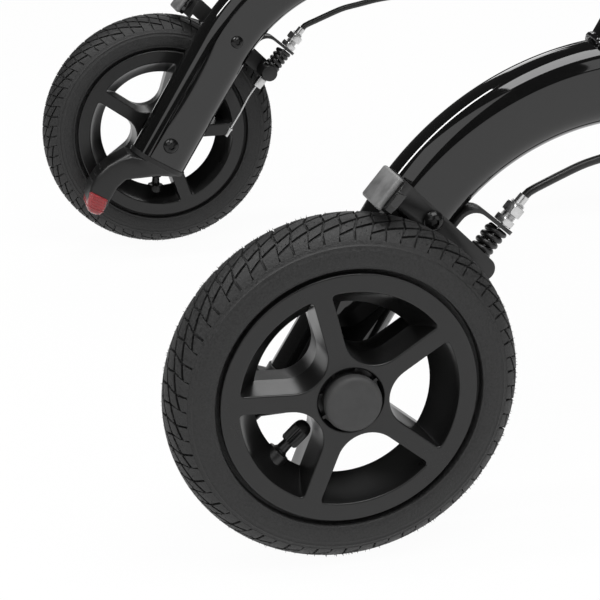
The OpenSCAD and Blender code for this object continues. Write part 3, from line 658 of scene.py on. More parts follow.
# %% Rim sizes
spokes = 5
spoke_step = 360 / spokes
rim_edge_r = 71.1 * mm
rim_half = 18.6 * mm
window_r = 62.5 * mm
spoke_half = 4.3 * mm
hub_fillet = 19.3 * mm
window_corner = 3.0 * mm
recess_r = 19.3 * mm
recess_floor = 12.6 * mm
hub_r = 17.3 * mm
hub_back = 18.2 * mm
bearing_r = 14 * mm
waist_drop, waist_curve = 9.5 * mm, 1.3
draft = 1.6 * mm
edge_round = 1.0 * mm
clip_count = 8
clip_r, clip_lift = 16.9 * mm, 1.6 * mm
clip_size = (3.6 * mm, 3.2 * mm, 1.8 * mm)
print("rim sizes:", spokes, "spokes,", round(2 * rim_edge_r, 3), "m across")


# %% Rim
def window(grow, drop):
    """One window's outline about its bisector, on +X, where the moulding is wider by grow all round.

    The barrel stands in by drop on top of that."""
    lean = spoke_step / 2
    sine, cosine = math.sin(math.radians(lean)), math.cos(math.radians(lean))
    half, reach, fillet = spoke_half + grow, window_r - grow - drop, hub_fillet - grow
    corner = window_corner - grow
    root = arc(((half + fillet) / sine, 0), fillet, 90 + lean, 270 - lean, 16)
    along = math.sqrt((reach - corner) ** 2 - (half + corner) ** 2)
    spot = (along * cosine + (half + corner) * sine, along * sine - (half + corner) * cosine)
    end = math.degrees(math.atan2(spot[1], spot[0]))
    upper = arc(spot, corner, end, 90 + lean, 4)
    lower = [(x, -y) for x, y in reversed(upper)]
    rim_side = arc((0, 0), reach, -end, end, 18)
    return root + lower + rim_side[1:-1] + upper


def spun(outline, degrees):
    sine, cosine = math.sin(math.radians(degrees)), math.cos(math.radians(degrees))
    return [(x * cosine - y * sine, x * sine + y * cosine) for x, y in outline]


def clip_ribs():
    ribs = []
    for k in range(clip_count):
        bpy.ops.mesh.primitive_cube_add(size=1)
        rib = ease(bpy.context.object, 0.08)
        turn = Matrix.Rotation(2 * math.pi * (k + 0.4) / clip_count, 4, "X")
        seat = Matrix.Translation((recess_floor + clip_lift, clip_r, 0))
        ribs.append(place(rib, turn @ seat @ Matrix.Diagonal((*clip_size, 1))))
    return ribs


def rim_outlines(grow, drop):
    edge = arc((0, 0), rim_edge_r + (grow if grow < edge_round else 2 * edge_round - grow), 0, 357, 119)
    windows = [spun(window(grow, drop), spoke_step * (k + 0.5)) for k in range(spokes)]
    return [edge, *windows, arc((0, 0), recess_r - grow, 0, 354, 59)]


def make_rim(hub_profile, ribs):
    """The face is a filled sheet, and each of its outlines is lofted down to the parting line."""
    levels = []
    for share in (0, 0.2, 0.4, 0.6, 0.8):
        drop = waist_drop * (1 - share) ** waist_curve
        levels.append((edge_round + draft * (1 - share), drop, share * (rim_half - edge_round)))
    for a in (math.radians(a) for a in (0, 18, 36, 54, 72, 90)):
        levels.append((edge_round * math.cos(a), 0, rim_half - edge_round * (1 - math.sin(a))))
    rim = place(flat_sheet("rim", rim_outlines(0, 0)), Matrix.Translation((0, 0, rim_half)))
    for rings in zip(*(rim_outlines(grow, drop) for grow, drop, _ in levels)):
        wall = [[(x, y, height) for x, y in ring] for (_, _, height), ring in zip(levels, rings)]
        join(rim, loft("wall", wall))
    tidy(rim)
    modify(rim, "MIRROR", use_axis=(False, False, True), merge_threshold=0.01 * mm)
    tidy(place(rim, ACROSS))
    for edge in rim.data.edges:
        ends = [abs(rim.data.vertices[i].co.x) for i in edge.vertices]
        edge.use_edge_sharp = max(ends) < 0.01 * mm or min(ends) > rim_half - 0.01 * mm
    smooth(rim, 25)
    hub = smooth(turned("hub", hub_profile), 30)
    return join(rim, hub, *ribs)


rear_hub = [(-hub_back, bearing_r), (-hub_back, hub_r), (recess_floor, hub_r), (recess_floor, bearing_r),
            (-hub_back, bearing_r)]
front_hub = in_mm((-17.6, 5.1), (-18.6, 5.6), (-18.6, 11), (-17, 12), (-17, 17.3), (17, 17.3), (17, 12),
                  (18.6, 11), (18.6, 5.6), (17.6, 5.1), (-17.6, 5.1))
rear_rim = make_rim(rear_hub, clip_ribs())
front_rim = make_rim(front_hub, [])
print("rim:", len(rear_rim.data.polygons), "faces")

# %% [markdown]
# ## Hub caps, bearings and valves
# All of these are lathe work, so a profile is drawn and spun. The ribs on the valve's cap come from pushing
# every other column of its knurled part in.

# %% Cap, bearing and valve
cap_seat = recess_floor + 0.1 * mm
cap_profile = [(cap_seat, 0), (cap_seat, 14.6 * mm)]
cap_profile += in_mm((17.6, 14.6), (18.6, 15.4), (20.2, 15.9), (23, 16), (24.4, 15.6), (25.3, 14.8),
                     (25.8, 13.6), (26, 12), (26, 9), (26.05, 2.6), (25.8, 1.9), (25.8, 0))
hub_cap = smooth(turned("cap", cap_profile, 96), 40)
bearing_back, bearing_front = -18.6 * mm, 3.8 * mm
inner_race = lathe("race", 64, 30, (0, 5.05), (0, 7.2), (0.5, 7.4), (0.5, 11.6), (0, 11.8), (0, 13.6),
                   (0.4, 13.99), (7.6, 13.99), (8, 13.6), (8, 11.8), (7.5, 11.6), (7.5, 7.4), (8, 7.2),
                   (8, 5.05), (0, 5.05))
outer_race = place(twin(inner_race), Matrix.Translation((bearing_front, 0, 0)))
bearings = join(place(inner_race, Matrix.Translation((bearing_back, 0, 0))), outer_race)
valve_profile = in_mm((57, 0), (57, 6.6), (50.4, 6.8), (49.4, 6.4), (49, 4.4), (47.6, 3.4), (44, 3.1),
                      (42.6, 3.1), (42.5, 4.4), (41.6, 5.1), (34, 5.2), (32, 5.1), (29.8, 4.6), (28.2, 3.4),
                      (27.4, 1.7), (27.2, 0))
valve_steps = 48
knurl_from, knurl_to, knurl_cut = 33.5 * mm, 42 * mm, 0.88
valve = turned("valve", valve_profile, valve_steps)
for vertex in valve.data.vertices:
    knurled = knurl_from < vertex.co.x < knurl_to
    column = round(math.atan2(vertex.co.z, vertex.co.y) / (2 * math.pi) * valve_steps)
    if knurled and column % 2:
        vertex.co.yz *= knurl_cut
smooth(place(valve, Matrix.Rotation(math.pi / 2, 4, "Z")), 25)
print("valve:", len(valve.data.polygons), "faces")

# %% [markdown]
# ## The four wheels
# The parts are copied to the four axles. Each wheel stands at its own turn, so the spokes and the valves of
# the two rear wheels point as the photograph shows them.

# %% Wheels on their axles
spoke_turns = {"rear": {"left": 0.8, "right": 105.3}, "front": {"left": 57, "right": 12}}
valve_turns = {"rear": {"left": 265, "right": 224}, "front": {"left": 93, "right": 48}}
axles = {"rear": rear_axle, "front": front_axle}
rims = {"rear": rear_rim, "front": front_rim}


def on_axle(obj, end, side, degrees):
    flip = SIDES[side]
    centre = Vector((flip * axles[end].x, axles[end].y, axles[end].z))
    spin = Matrix.Rotation(math.radians(degrees), 4, "X")
    return place(twin(obj), Matrix.Translation(centre) @ Matrix.Scale(flip, 4, (1, 0, 0)) @ spin)


for end in axles:
    for side in SIDES:
        body = f"{end}_wheel_{side}"
        turn, valve_turn = spoke_turns[end][side], valve_turns[end][side]
        fit(on_axle(tyre, end, side, valve_turn), f"treaded_tyre_{end}_{side}", body, "tyre_rubber",
            tyre_rubber, f"{end}_tyre_{side}")
        fit(on_axle(rims[end], end, side, turn), f"spoked_rim_{end}_{side}", body, "rim_plastic",
            rim_plastic, f"{end}_rim_{side}")
        fit(on_axle(valve, end, side, valve_turn), f"valve_{end}_{side}", body, "cable_jacket", jacket)
        if end == "rear":
            fit(on_axle(hub_cap, end, side, 20), f"domed_cap_{side}", body, "dark_plastic", cap_plastic,
                f"hub_cap_{side}")
            fit(on_axle(bearings, end, side, 0), f"ball_bearings_{side}", body, "bearing_steel", zinc,
                f"rear_bearings_{side}")
for pattern in (tyre, rear_rim, front_rim, valve, hub_cap, bearings):
    bpy.data.objects.remove(pattern)
print("wheels placed:", len(axles) * len(SIDES))

# %% [markdown]
# ## Side frames
# Each side is bent from one oval tube, with a straight leg, an even bend and a rail. A hand would draw the
# tube's section once, extrude it along the leg, spin it round the bend and extrude it again. That is done
# here, so the flats stay flat and the reflections run clean along the tube.

# %% Tube sizes
tube_h, tube_w = 45 * mm, 30 * mm
arch_h = 48.5 * mm
strut_h = 40 * mm
leg_angle = 59
upright_angle = 112
strut_angle = 61
ground = rear_axle.y
leg_tip = Vector((side_x, ground - 8.498 * mm, 85.857 * mm))
leg_run = 105.5 * mm
bend_centre = Vector((side_x, ground + 182.98 * mm, 93.88 * mm))
rail_z = 253.88 * mm
rail_run = swivel.y - bend_centre.y
upright_foot = Vector((side_x, ground + 500 * mm, rail_z))
upright_top = Vector((side_x, ground + 264.857 * mm, 835.88 * mm))
strut_foot = Vector((side_x, ground + 165.6 * mm, rail_z))
strut_apex = Vector((side_x, ground + 359 * mm, 602.8 * mm))
weld_r = 2.2 * mm


def heading(degrees):
    """A direction in the side plane, turned from forward towards up."""
    return Vector((0, math.cos(math.radians(degrees)), math.sin(math.radians(degrees))))


print("tube sizes: an arch of", round(arch_h, 4), "by", round(tube_w, 4), "m, rail at", round(rail_z, 3), "m")


# %% Tubes by extrude and spin
def oval(height, width, steps=40, corner=None):
    """Points of an oval with straight flats, as (along its height, across).

    A small corner makes it a soft box."""
    r = min(height, width) / 2 if corner is None else min(corner, height / 2, width / 2)
    points = []
    for k in range(steps):
        a = 2 * math.pi * (k + 0.5) / steps
        rise = math.copysign(max(0, height / 2 - r), math.cos(a))
        reach = math.copysign(max(0, width / 2 - r), math.sin(a))
        points.append((rise + r * math.cos(a), reach + r * math.sin(a)))
    return points


def section(centre, lean, height, width, steps=40, corner=None):
    """An oval ring in space, its height along the heading lean and its width along X."""
    up = heading(lean)
    return [centre + u * up + Vector((v, 0, 0)) for u, v in oval(height, width, steps, corner)]


def tube(name, start, lean, height, width, moves, steps=64):
    ring = section(start, lean, height, width, steps)
    obj = from_points(name, ring, [(i, (i + 1) % steps) for i in range(steps)])
    edit(obj)
    for kind, *how in moves:
        if kind == "run":
            bpy.ops.mesh.extrude_edges_move(TRANSFORM_OT_translate={"value": how[0]})
        else:
            centre, degrees, count = how
            bpy.ops.mesh.spin(steps=count, angle=-math.radians(degrees), center=centre, axis=(1, 0, 0))
    bpy.ops.mesh.select_all(action="SELECT")
    bpy.ops.mesh.fill_holes(sides=0)
    leave()
    return smooth(tidy(obj), 40)


def bead(name, points, radius, ripple=0.16):
    """A round cord on a closed loop of points, a little uneven, for welds, ridges and piping."""
    cord = swept(name, [points], radius, 2, closed=True)
    for k, point in enumerate(cord.data.splines[0].points):
        point.radius = 1 + ripple * math.sin(k * 2.1)
    return smooth(meshed(cord), 60)


def foot_loop(start, lean, height, width):
    """Where a tube that stands on the rail meets the rail's round top."""
    up, points = heading(lean), []
    for spot in section(start, lean - 90, height, width, 72):
        across = min(abs(spot.x - side_x), tube_w / 2)
        top = rail_z + (arch_h - tube_w) / 2 + math.sqrt((tube_w / 2) ** 2 - across ** 2)
        points.append(spot + up * (top - spot.z) / up.z)
    return points


arch = tube("arch_tube", leg_tip, leg_angle + 90, arch_h, tube_w, [
    ("run", heading(leg_angle) * leg_run), ("bend", bend_centre, -leg_angle, 48),
    ("run", Vector((0, rail_run, 0)))])
fit_both(arch, "bent_arch", "frame", "frame_paint", gloss_paint, "arch")
upright = tube("upright_tube", upright_foot, upright_angle + 90, tube_h, tube_w,
               [("run", upright_top - upright_foot)])
strut = tube("strut_tube", strut_foot, strut_angle + 90, strut_h, tube_w, [("run", strut_apex - strut_foot)])
welds = [bead("weld", foot_loop(upright_foot, upright_angle, tube_h, tube_w), weld_r),
         bead("weld", foot_loop(strut_foot, strut_angle, strut_h, tube_w), weld_r)]
fit_both(join(upright, strut, *welds), "welded_upright", "frame", "frame_paint", gloss_paint, "upright")

# %% [markdown]
# ## Toe and reflector
# A moulded plug closes the leg, runs back and bends down to a short foot, which a heel presses to tip the
# walker up a kerb. It changes section all the way, so it is lofted through soft boxes. The red lens is a loft
# of its own round the tip, a little larger than the toe. Tread ribs and the lens's ridges are set on after.

# %% Toe
def on_toe(y, z, lean, height, width, corner=3.5):
    return Vector((side_x, ground + y * mm, z * mm)), lean, height * mm, width * mm, 40, corner * mm


def past_leg(along, grow):
    spot = leg_tip - heading(leg_angle) * along * mm
    return spot, leg_angle + 90, arch_h + grow * mm, tube_w + grow * mm


def capped(name, stations):
    """A loft through stations, with both its ends closed."""
    return smooth(closed_loft(name, [section(*station) for station in stations]), 35)


toe = capped("toe", [past_leg(-0.4, 1.2), past_leg(-0.05, 2.0), past_leg(3.6, 2.0), past_leg(4.4, 0.6),
                     on_toe(-23, 84.3, 140, 34.4, 29.6, 7), on_toe(-35, 82, 135, 25.5, 28.8, 4),
                     on_toe(-45.5, 79.3, 139, 20.4, 28.2), on_toe(-53.5, 72.4, 145, 20.4, 28),
                     on_toe(-59.2, 63.4, 147, 20.4, 27.6), on_toe(-62.6, 55, 152, 18.4, 27),
                     on_toe(-64.2, 49.6, 155, 15, 25.4), on_toe(-64.9, 46.6, 157, 10.6, 22)])
bend_at = Vector((side_x, ground - 40.6 * mm, 61.4 * mm))
rib_turns, rib_size = (130, 143, 156, 169, 182), (17 * mm, 2.4 * mm, 2.6 * mm)
first_rib_r, rib_r = 27.4 * mm, 26.6 * mm
for turn in rib_turns:
    bpy.ops.mesh.primitive_cube_add(size=1)
    rib = ease(bpy.context.object, 0.3, 3)
    out = heading(turn)
    reach = first_rib_r if turn == rib_turns[0] else rib_r
    seat = Matrix((Vector((1, 0, 0)), heading(turn + 90), out)).transposed().to_4x4()
    scale = Matrix.Diagonal((*rib_size, 1))
    join(toe, smooth(place(rib, Matrix.Translation(bend_at + out * reach) @ seat @ scale), 30))
fit_both(toe, "plug_toe", "frame", "dark_plastic", toe_plastic, "toe")

lens = capped("lens", [on_toe(-61.0, 60.6, 149, 16.4, 29.6), on_toe(-61.2, 60.2, 149, 17.0, 30.4),
                       on_toe(-63.4, 54, 152, 16.4, 29.6), on_toe(-65.0, 48.6, 155, 14.4, 28.2),
                       on_toe(-65.7, 45.6, 157, 11, 24.4), on_toe(-66.0, 44.2, 157, 7, 19)])
ridge_r = 0.42 * mm
for share in (0.1, 0.3, 0.5, 0.7, 0.9):
    station = on_toe(-61.2 - 3.9 * share, 60.2 - 12.2 * share, 149 + 6 * share, 17.0 - 2.4 * share,
                     30.5 - 2.4 * share)
    join(lens, bead("ridge", section(*station), ridge_r))
fit_both(lens, "ribbed_reflector", "frame", "reflector_red", red_lens, "reflector")

# %% [markdown]
# ## Axle screws
# The wheel turns on a long screw with a domed head and a hexagon socket, and the brake arm on a shorter one.
# The dome is turned, then a hexagon is cut from it with a Boolean, as a punch would cut it.


# %% Screws
def hex_bar(radius, low, high):
    """A hexagon along X between two stations."""
    bpy.ops.mesh.primitive_cylinder_add(vertices=6, radius=radius, depth=high - low)
    bar = place(bpy.context.object, ACROSS)
    return place(bar, Matrix.Translation(((low + high) / 2, 0, 0)))


def dome_head(radius, height):
    """A domed socket head that stands on the plane X = 0 and rises along +X."""
    dome_r, rim_h, socket_r = radius * 1.15, 0.14 * height, radius * 0.42
    curve = arc((height - dome_r, 0), dome_r, 0, 58, 8)
    profile = [(x, r) for x, r in curve if x > 0.2 * height]
    head = turned("head", [*profile, (rim_h, radius), (0, radius), (0, 0)], 48)
    socket = hex_bar(socket_r, height * 0.45, height * 1.4)
    modify(head, "BOOLEAN", operation="DIFFERENCE", solver="EXACT", object=socket)
    bpy.data.objects.remove(socket)
    return smooth(head, 35)


def dome_rivet(radius, rise=0.55):
    """A low round rivet head that rises along +X."""
    turns = [math.radians(a) for a in (15, 35, 55, 75)]
    dome = [(radius * rise * math.sin(a), radius * math.cos(a)) for a in turns]
    return smooth(turned("rivet", [(0, 0), (0, radius), *dome, (radius * rise, 0)], 24), 60)


def nut(radius, low, high):
    """A hexagon nut with chamfered corners."""
    body = hex_bar(radius, low, high)
    past, slope, flat_r, full_r = 0.2 * mm, 0.28 * radius, radius * 0.9, radius * 1.04
    cone = turned("cone", [(low - past, 0), (low - past, flat_r), (low + slope, full_r),
                           (high - slope, full_r), (high + past, flat_r), (high + past, 0)], 48)
    modify(body, "BOOLEAN", operation="INTERSECT", solver="EXACT", object=cone)
    bpy.data.objects.remove(cone)
    return smooth(ease(body, 0.12 * mm, 1), 30)


def outward(x, spot):
    """A place on a screw's line, where its own +X still points to the right."""
    return Matrix.Translation((x, spot.y, spot.z))


def inward(x, spot):
    return outward(x, spot) @ Matrix.Rotation(math.pi, 4, "Z")


inner_x, outer_x = side_x - tube_w / 2, side_x + tube_w / 2
axle_nut_from, axle_nut_to = 308.7 * mm, 314.7 * mm
arm_face_x = 274.7 * mm
axle_head, pivot_head, arm_head = in_mm((6.4, 4.6), (5.2, 3.8), (6, 4.2))
spacer = lathe("spacer", 48, 30, (-0.5, 0), (-0.5, 7.2), (0.4, 7.5), (10.6, 7.5), (11, 7.1), (11, 0))
sleeve = lathe("sleeve", 48, 30, (-0.5, 0), (-0.5, 6), (2.6, 6), (2.6, 3), (8.2, 3), (8.2, 0))
bolts = join(place(dome_head(*axle_head), inward(inner_x, rear_axle)),
             place(spacer, outward(outer_x, rear_axle)),
             place(nut(9 * mm, axle_nut_from, axle_nut_to), outward(0, rear_axle)),
             place(dome_head(*pivot_head), inward(inner_x, brake_pivot)),
             place(sleeve, outward(outer_x, brake_pivot)),
             place(dome_head(*arm_head), outward(arm_face_x, brake_pivot)))
fit_both(bolts, "socket_screws", "frame", "black_bolt", black_bolt, "bolts")

# %% [markdown]
# ## Rear brakes
# A cable pulls the arm's front end up, and its back end presses a block on the tyre. The arm keeps the shape
# of the frame model, with eased edges and a slimmer end. The block, its rubber collar, the bent strap, the
# adjuster and the spring are modelled here in their own pull direction.

# %% Pull frame
pull_point = Vector((256.5 * mm, ground + 104 * mm, 173 * mm))
pull_angle = 50
pad_foot = Vector((0, ground + 15.27 * mm, 200.95 * mm))
pad_lean = 50.5
PULL = Matrix.Translation(pull_point) @ Matrix((
    Vector((1, 0, 0)), -heading(pull_angle + 90), heading(pull_angle))).transposed().to_4x4()
PAD = Matrix.Translation(pad_foot) @ Matrix((
    Vector((1, 0, 0)), -heading(pad_lean + 90), heading(pad_lean))).transposed().to_4x4()
STAND = ACROSS.transposed()


def eased(node, width, segments=2):
    """A copy of a frame solid, merged, with its flats made whole and its edges rounded."""
    source = frame["nodes"][node]
    copy = bpy.data.objects.new(node + "_eased", source.data.copy())
    scene.collection.objects.link(copy)
    tidy(copy)
    edit(copy)
    bpy.ops.mesh.dissolve_limited(angle_limit=math.radians(1.0))
    leave()
    return smooth(ease(copy, width, segments), 40)


def rounded_box(low, high, radius, segments=3):
    bpy.ops.mesh.primitive_cube_add(size=1)
    box = bpy.context.object
    low, high = Vector(low), Vector(high)
    place(box, Matrix.Translation((low + high) / 2) @ Matrix.Diagonal((*(high - low), 1)))
    return smooth(ease(box, radius, segments), 30)


print("pull direction:", [round(v, 3) for v in heading(pull_angle)])

# %% Arm and block
# The frame model's arm ends in a thick round. The photograph shows a slim end behind the block, so the round
# is drawn in towards its far face.
slim_x, slim_share = 283 * mm, 0.52
slim_y, slim_z = (-4 * mm, 12 * mm), (4 * mm, 24 * mm)
arm = eased("brake_arm_right", 0.8 * mm)
for vertex in arm.data.vertices:
    spot = PAD.inverted() @ vertex.co
    if spot.x < slim_x and slim_y[0] < spot.y < slim_y[1] and slim_z[0] < spot.z < slim_z[1]:
        spot.y = slim_y[1] - (slim_y[1] - spot.y) * slim_share
        vertex.co = PAD @ spot
fit_both(arm, "flat_arm", "brake", "dark_metal", satin_black, "brake_arm")

# The block's light grey colour is a painted reflection of the lamp above and behind on its black coat.
pad = rounded_box(*in_mm((279.6, -3.5, 2.4), (307.5, 0.3, 22.8)), 1.6 * mm, 5)
fit_both(place(pad, PAD), "brake_block", "brake", "pad_rubber", painted_reflection_grey, "brake_pad")
collar_h, collar_w, collar_t, collar_corner = 19.4 * mm, 31 * mm, 4.8 * mm, 7.5 * mm
collar_at = Matrix.Translation((296.3 * mm, 2.2 * mm, 12.8 * mm)) @ Matrix.Rotation(math.pi / 2, 4, "X")
outline = [(across, along) for along, across in oval(collar_h, collar_w, 40, collar_corner)]
collar = modify(flat_sheet("collar", [outline]), "SOLIDIFY", thickness=collar_t, offset=0)
place(smooth(ease(collar, 1.6 * mm, 4), 40), collar_at)
fit_both(place(collar, PAD), "block_collar", "brake", "pad_rubber", gloss_collar)

# %% Strap, adjuster and spring
strap_w, strap_t = 14 * mm, 2.4 * mm
strap_back, strap_end, strap_bend = -25.4 * mm, 8 * mm, 11 * mm
strap_foot, strap_half = -30 * mm, strap_w / 2
rivet_y, rivet_heights = -24.2 * mm, (-12 * mm, -25 * mm)
bend = arc((strap_back + strap_bend, -strap_bend), strap_bend, 168, 90, 7)
strap_path = [(y, z, strap_half) for y, z in [(strap_back, strap_foot), (strap_back, -strap_bend), *bend]]
for turn in (math.radians(a) for a in range(0, 91, 10)):
    half = max(strap_half * math.cos(turn), 0.3 * mm)
    strap_path.append((strap_end - strap_half * (1 - math.sin(turn)), 0, half))
points = [(x, y, z) for y, z, half in strap_path for x in (-half, half)]
faces = [(2 * i, 2 * i + 1, 2 * i + 3, 2 * i + 2) for i in range(len(strap_path) - 1)]
strap = tidy(from_points("strap", points, (), faces))
modify(strap, "SOLIDIFY", thickness=strap_t, offset=0)
smooth(ease(strap, 0.5 * mm), 35)
for height in rivet_heights:
    seat = Matrix.Translation((0, rivet_y, height)) @ Matrix.Rotation(math.pi / 2, 4, "Z")
    join(strap, place(dome_rivet(2.1 * mm), seat))
fit_both(place(strap, PULL), "bent_strap", "frame", "dark_metal", satin_black, "brake_bracket")

thread = [(1.4, 0)]
for k in range(15):
    thread += [(1.4 + k, 4.5), (1.9 + k, 4.0)]
thread += [(16.4, 4.3), (16.5, 3.2), (21.5, 3.1), (21.8, 2.7), (21.8, 0)]
barrel = lathe("barrel", 32, 30, *thread)
nut_r, nut_spans = 6.6 * mm, in_mm((1.5, 5.5), (8.6, 14.4))
adjuster = join(barrel, *(nut(nut_r, *span) for span in nut_spans))
fit_both(place(adjuster, PULL @ STAND), "hex_adjuster", "frame", "zinc_steel", zinc, "adjuster")


def wound(name, radius, wire, low, high, turns):
    """A close spring about local Z, its ends flattened."""
    count = int(turns * 28)
    line = []
    for k in range(count + 1):
        share = k / count
        rise = min(max((share - 0.1) / 0.8, 0), 1)
        a = 2 * math.pi * turns * share
        line.append((radius * math.cos(a), radius * math.sin(a), low + (high - low) * rise))
    return smooth(meshed(swept(name, [line], wire, 3, caps=True)), 60)


spring_r, spring_wire, spring_turns = 5.1 * mm, 1.75 * mm, 4.6
spring_low, spring_high = -18.2 * mm, -3.4 * mm
spring = wound("spring", spring_r, spring_wire, spring_low, spring_high, spring_turns)
springs = fit_both(place(spring, PULL), "return_spring", "frame", "spring_steel", spring_black,
                   "brake_spring")
for piece, side in zip(springs, ("right", "left")):
    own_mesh(piece)

# %% [markdown]
# ## Brake cables
# The housing runs from the adjuster in one easy curve to a grommet under the rail. The bare wire goes down
# through the spring to a clamp, and its spare end hangs below with a crimped tip. Both repeat the frame
# model's routes.

# %% Cables
housing_steps = [(0, 13, 15.5), (0, 17, 19), (-0.5, 24, 22), (-1, 36, 27), (-1.5, 49, 32), (-2.5, 62, 35),
                 (-3.5, 81, 39), (-4.5, 106, 41.5), (-5, 131, 41.5), (-5, 156, 40), (-5, 172, 40.5),
                 (-5, 182, 44.5), (-5, 186, 51)]
housing_count, housing_r = 40, 2.5 * mm
tail_count, tail_r = 16, 0.75 * mm
tail_steps = [(0, -24.5, -28.5), (-1.5, -33, -39), (-3.5, -41, -52), (-4.5, -49, -64)]


def eased_route(steps, count):
    """Points on a smooth curve through the steps, evenly spaced, in metres."""
    knots = [Vector(s) * mm + pull_point for s in steps]
    knots = [2 * knots[0] - knots[1], *knots, 2 * knots[-1] - knots[-2]]
    fine = []
    for a, b, c, d in zip(knots, knots[1:], knots[2:], knots[3:]):
        for i in range(24):
            t = i / 24
            fine.append(0.5 * (2 * b + (c - a) * t + (2 * a - 5 * b + 4 * c - d) * t * t
                               + (3 * b - a - 3 * c + d) * t ** 3))
    fine.append(knots[-2])
    length = lengths(fine)[-1]
    return spots(fine, np.linspace(0, length, count)), length


def cable(name, steps, count, radius, side):
    route, length = eased_route(steps, count)
    line = [(SIDES[side] * x, y, z) for x, y, z in route]
    return swept(name, [line], radius, 4, caps=True), line[0], float(length)


for side in SIDES:
    name = "cable_housing_" + side
    housing, exit_point, length = cable(name, housing_steps, housing_count, housing_r, side)
    housing.data.materials.append(jacket)
    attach(housing, "frame_" + side)
    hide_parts("cable_" + side)
    print("housing", side, round(length, 3), "m")

grommet_at = pull_point + Vector(housing_steps[-1]) * mm
grommet = lathe("grommet", 40, 50, (-0.5, 2.6), (-1.4, 4.0), (0.6, 5.6), (2.4, 6.2), (4.4, 5.2), (5.2, 5.6),
                (6.6, 6.4), (7.6, 6.2), (8.4, 2.4))
grommet_x = Matrix.Translation((grommet_at.x, grommet_at.y, rail_z - arch_h / 2 - 6.8 * mm))
fit_both(place(grommet, grommet_x @ STAND), "rail_grommet", "frame", "cable_jacket", jacket)

clamp_z = -36.1
clamp = rounded_box(*in_mm((-3.6, -3.4, clamp_z - 4.6), (3.6, 3.4, clamp_z + 4.6)), 0.8 * mm)
slot = rounded_box(*in_mm((2.2, -5, clamp_z - 0.8), (6, 5, clamp_z + 0.8)), 0.1 * mm, 1)
modify(clamp, "BOOLEAN", operation="DIFFERENCE", solver="EXACT", object=slot)
bpy.data.objects.remove(slot)
smooth(clamp, 30)
pin = lathe("pin", 12, 40, (clamp_z - 1, 0), (clamp_z - 1, 0.8), (8, 0.8), (8, 0))
cup = lathe("cup", 40, 35, (-22.2, 1.2), (-22.2, 4.6), (-21.4, 6.6), (-19.6, 6.9), (-19.4, 6.3), (-20.6, 5.6),
            (-20.8, 1.2))
clamp = join(clamp, place(pin, STAND))
route, _ = eased_route(tail_steps, tail_count)
tip = lathe("tip", 16, 30, (-9, 0), (-9, 1.2), (-8.4, 1.5), (-3, 1.5), (-2.6, 2.1), (-1.2, 2.1), (-0.6, 1.4),
            (0, 1.2), (0, 0))
back_along = Vector(route[-2] - route[-1]).to_track_quat("X", "Z").to_matrix().to_4x4()
place(tip, Matrix.Translation(Vector(route[-1])) @ back_along)
tip_right, tip_left = fit_both(tip, "crimped_tip", "brake", "zinc_steel", zinc)
for side, tip in (("left", tip_left), ("right", tip_right)):
    tail, exit_point, length = cable("wire_tail_" + side, tail_steps, tail_count, tail_r, side)
    tail.data.materials.append(zinc)
    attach(tail, "brake_" + side)
    print("tail", side, round(length, 3), "m")
fit_both(place(clamp, PULL), "wire_clamp", "brake", "zinc_steel", zinc, "cable_clamp")
fit_both(place(cup, PULL @ STAND), "spring_cup", "brake", "dark_metal", satin_black)

# %% [markdown]
# ## Casters and heads
# The fork, its crown and the head above it are machined and welded metal. The frame model already has their
# shapes, so a copy of each gets rounded edges, and the axle's ends get domed screw heads and a nut.

# %% Forks and heads
fork_half, nut_t = 38.6 * mm, 5.4 * mm
fork = eased("fork_right", 1.2 * mm, 3)
fork_head = place(dome_head(8.4 * mm, 5.2 * mm), outward(front_axle.x + fork_half, front_axle))
fork_nut = place(nut(8.4 * mm, -fork_half - nut_t, -fork_half), outward(front_axle.x, front_axle))
fit_both(join(fork, fork_head, fork_nut), "curved_fork", "caster", "dark_metal", satin_black, "fork")

head = lathe("head", 72, 35, (-27.4, 8.4), (-27.4, 22.6), (-26.4, 24), (-19.6, 24), (-19.2, 23.3),
             (-18.2, 23.3), (-17.8, 24), (30.6, 24), (31, 23.3), (32, 23.3), (32.4, 24), (36.6, 24),
             (38.2, 21.8), (38.8, 16), (39.2, 6), (39.2, 0))
place(head, Matrix.Translation((side_x, swivel.y, rail_z)) @ STAND)
fit_both(head, "caster_head", "frame", "dark_metal", gloss_paint, "head")

# %% [markdown]
# ## Handles
# A bent tube slides in the upright and carries a soft grip and a brake lever. The tube is made as the frame
# was, by extrude and spin. The grip is turned, with rings for the fingers, and the lever is a moulding with
# easy edges.

# %% Posts, grips and levers
post_d = 25 * mm
post_hidden = 230 * mm
post_run = 259.5 * mm
handle_bend = 46 * mm
handle_run = 156 * mm
post_foot = upright_top - heading(upright_angle) * post_hidden
post_end = post_foot + heading(upright_angle) * post_run
handle_centre = post_end + heading(upright_angle + 90) * handle_bend
grip_point = handle_centre + Vector((0, 0, handle_bend))
post = tube("post", post_foot, upright_angle + 90, post_d, post_d, [
    ("run", heading(upright_angle) * post_run), ("bend", handle_centre, 180 - upright_angle, 24),
    ("run", Vector((0, -handle_run, 0)))], steps=48)
fit_both(post, "bent_post", "handle", "post_aluminium", post_metal, "handle_post")

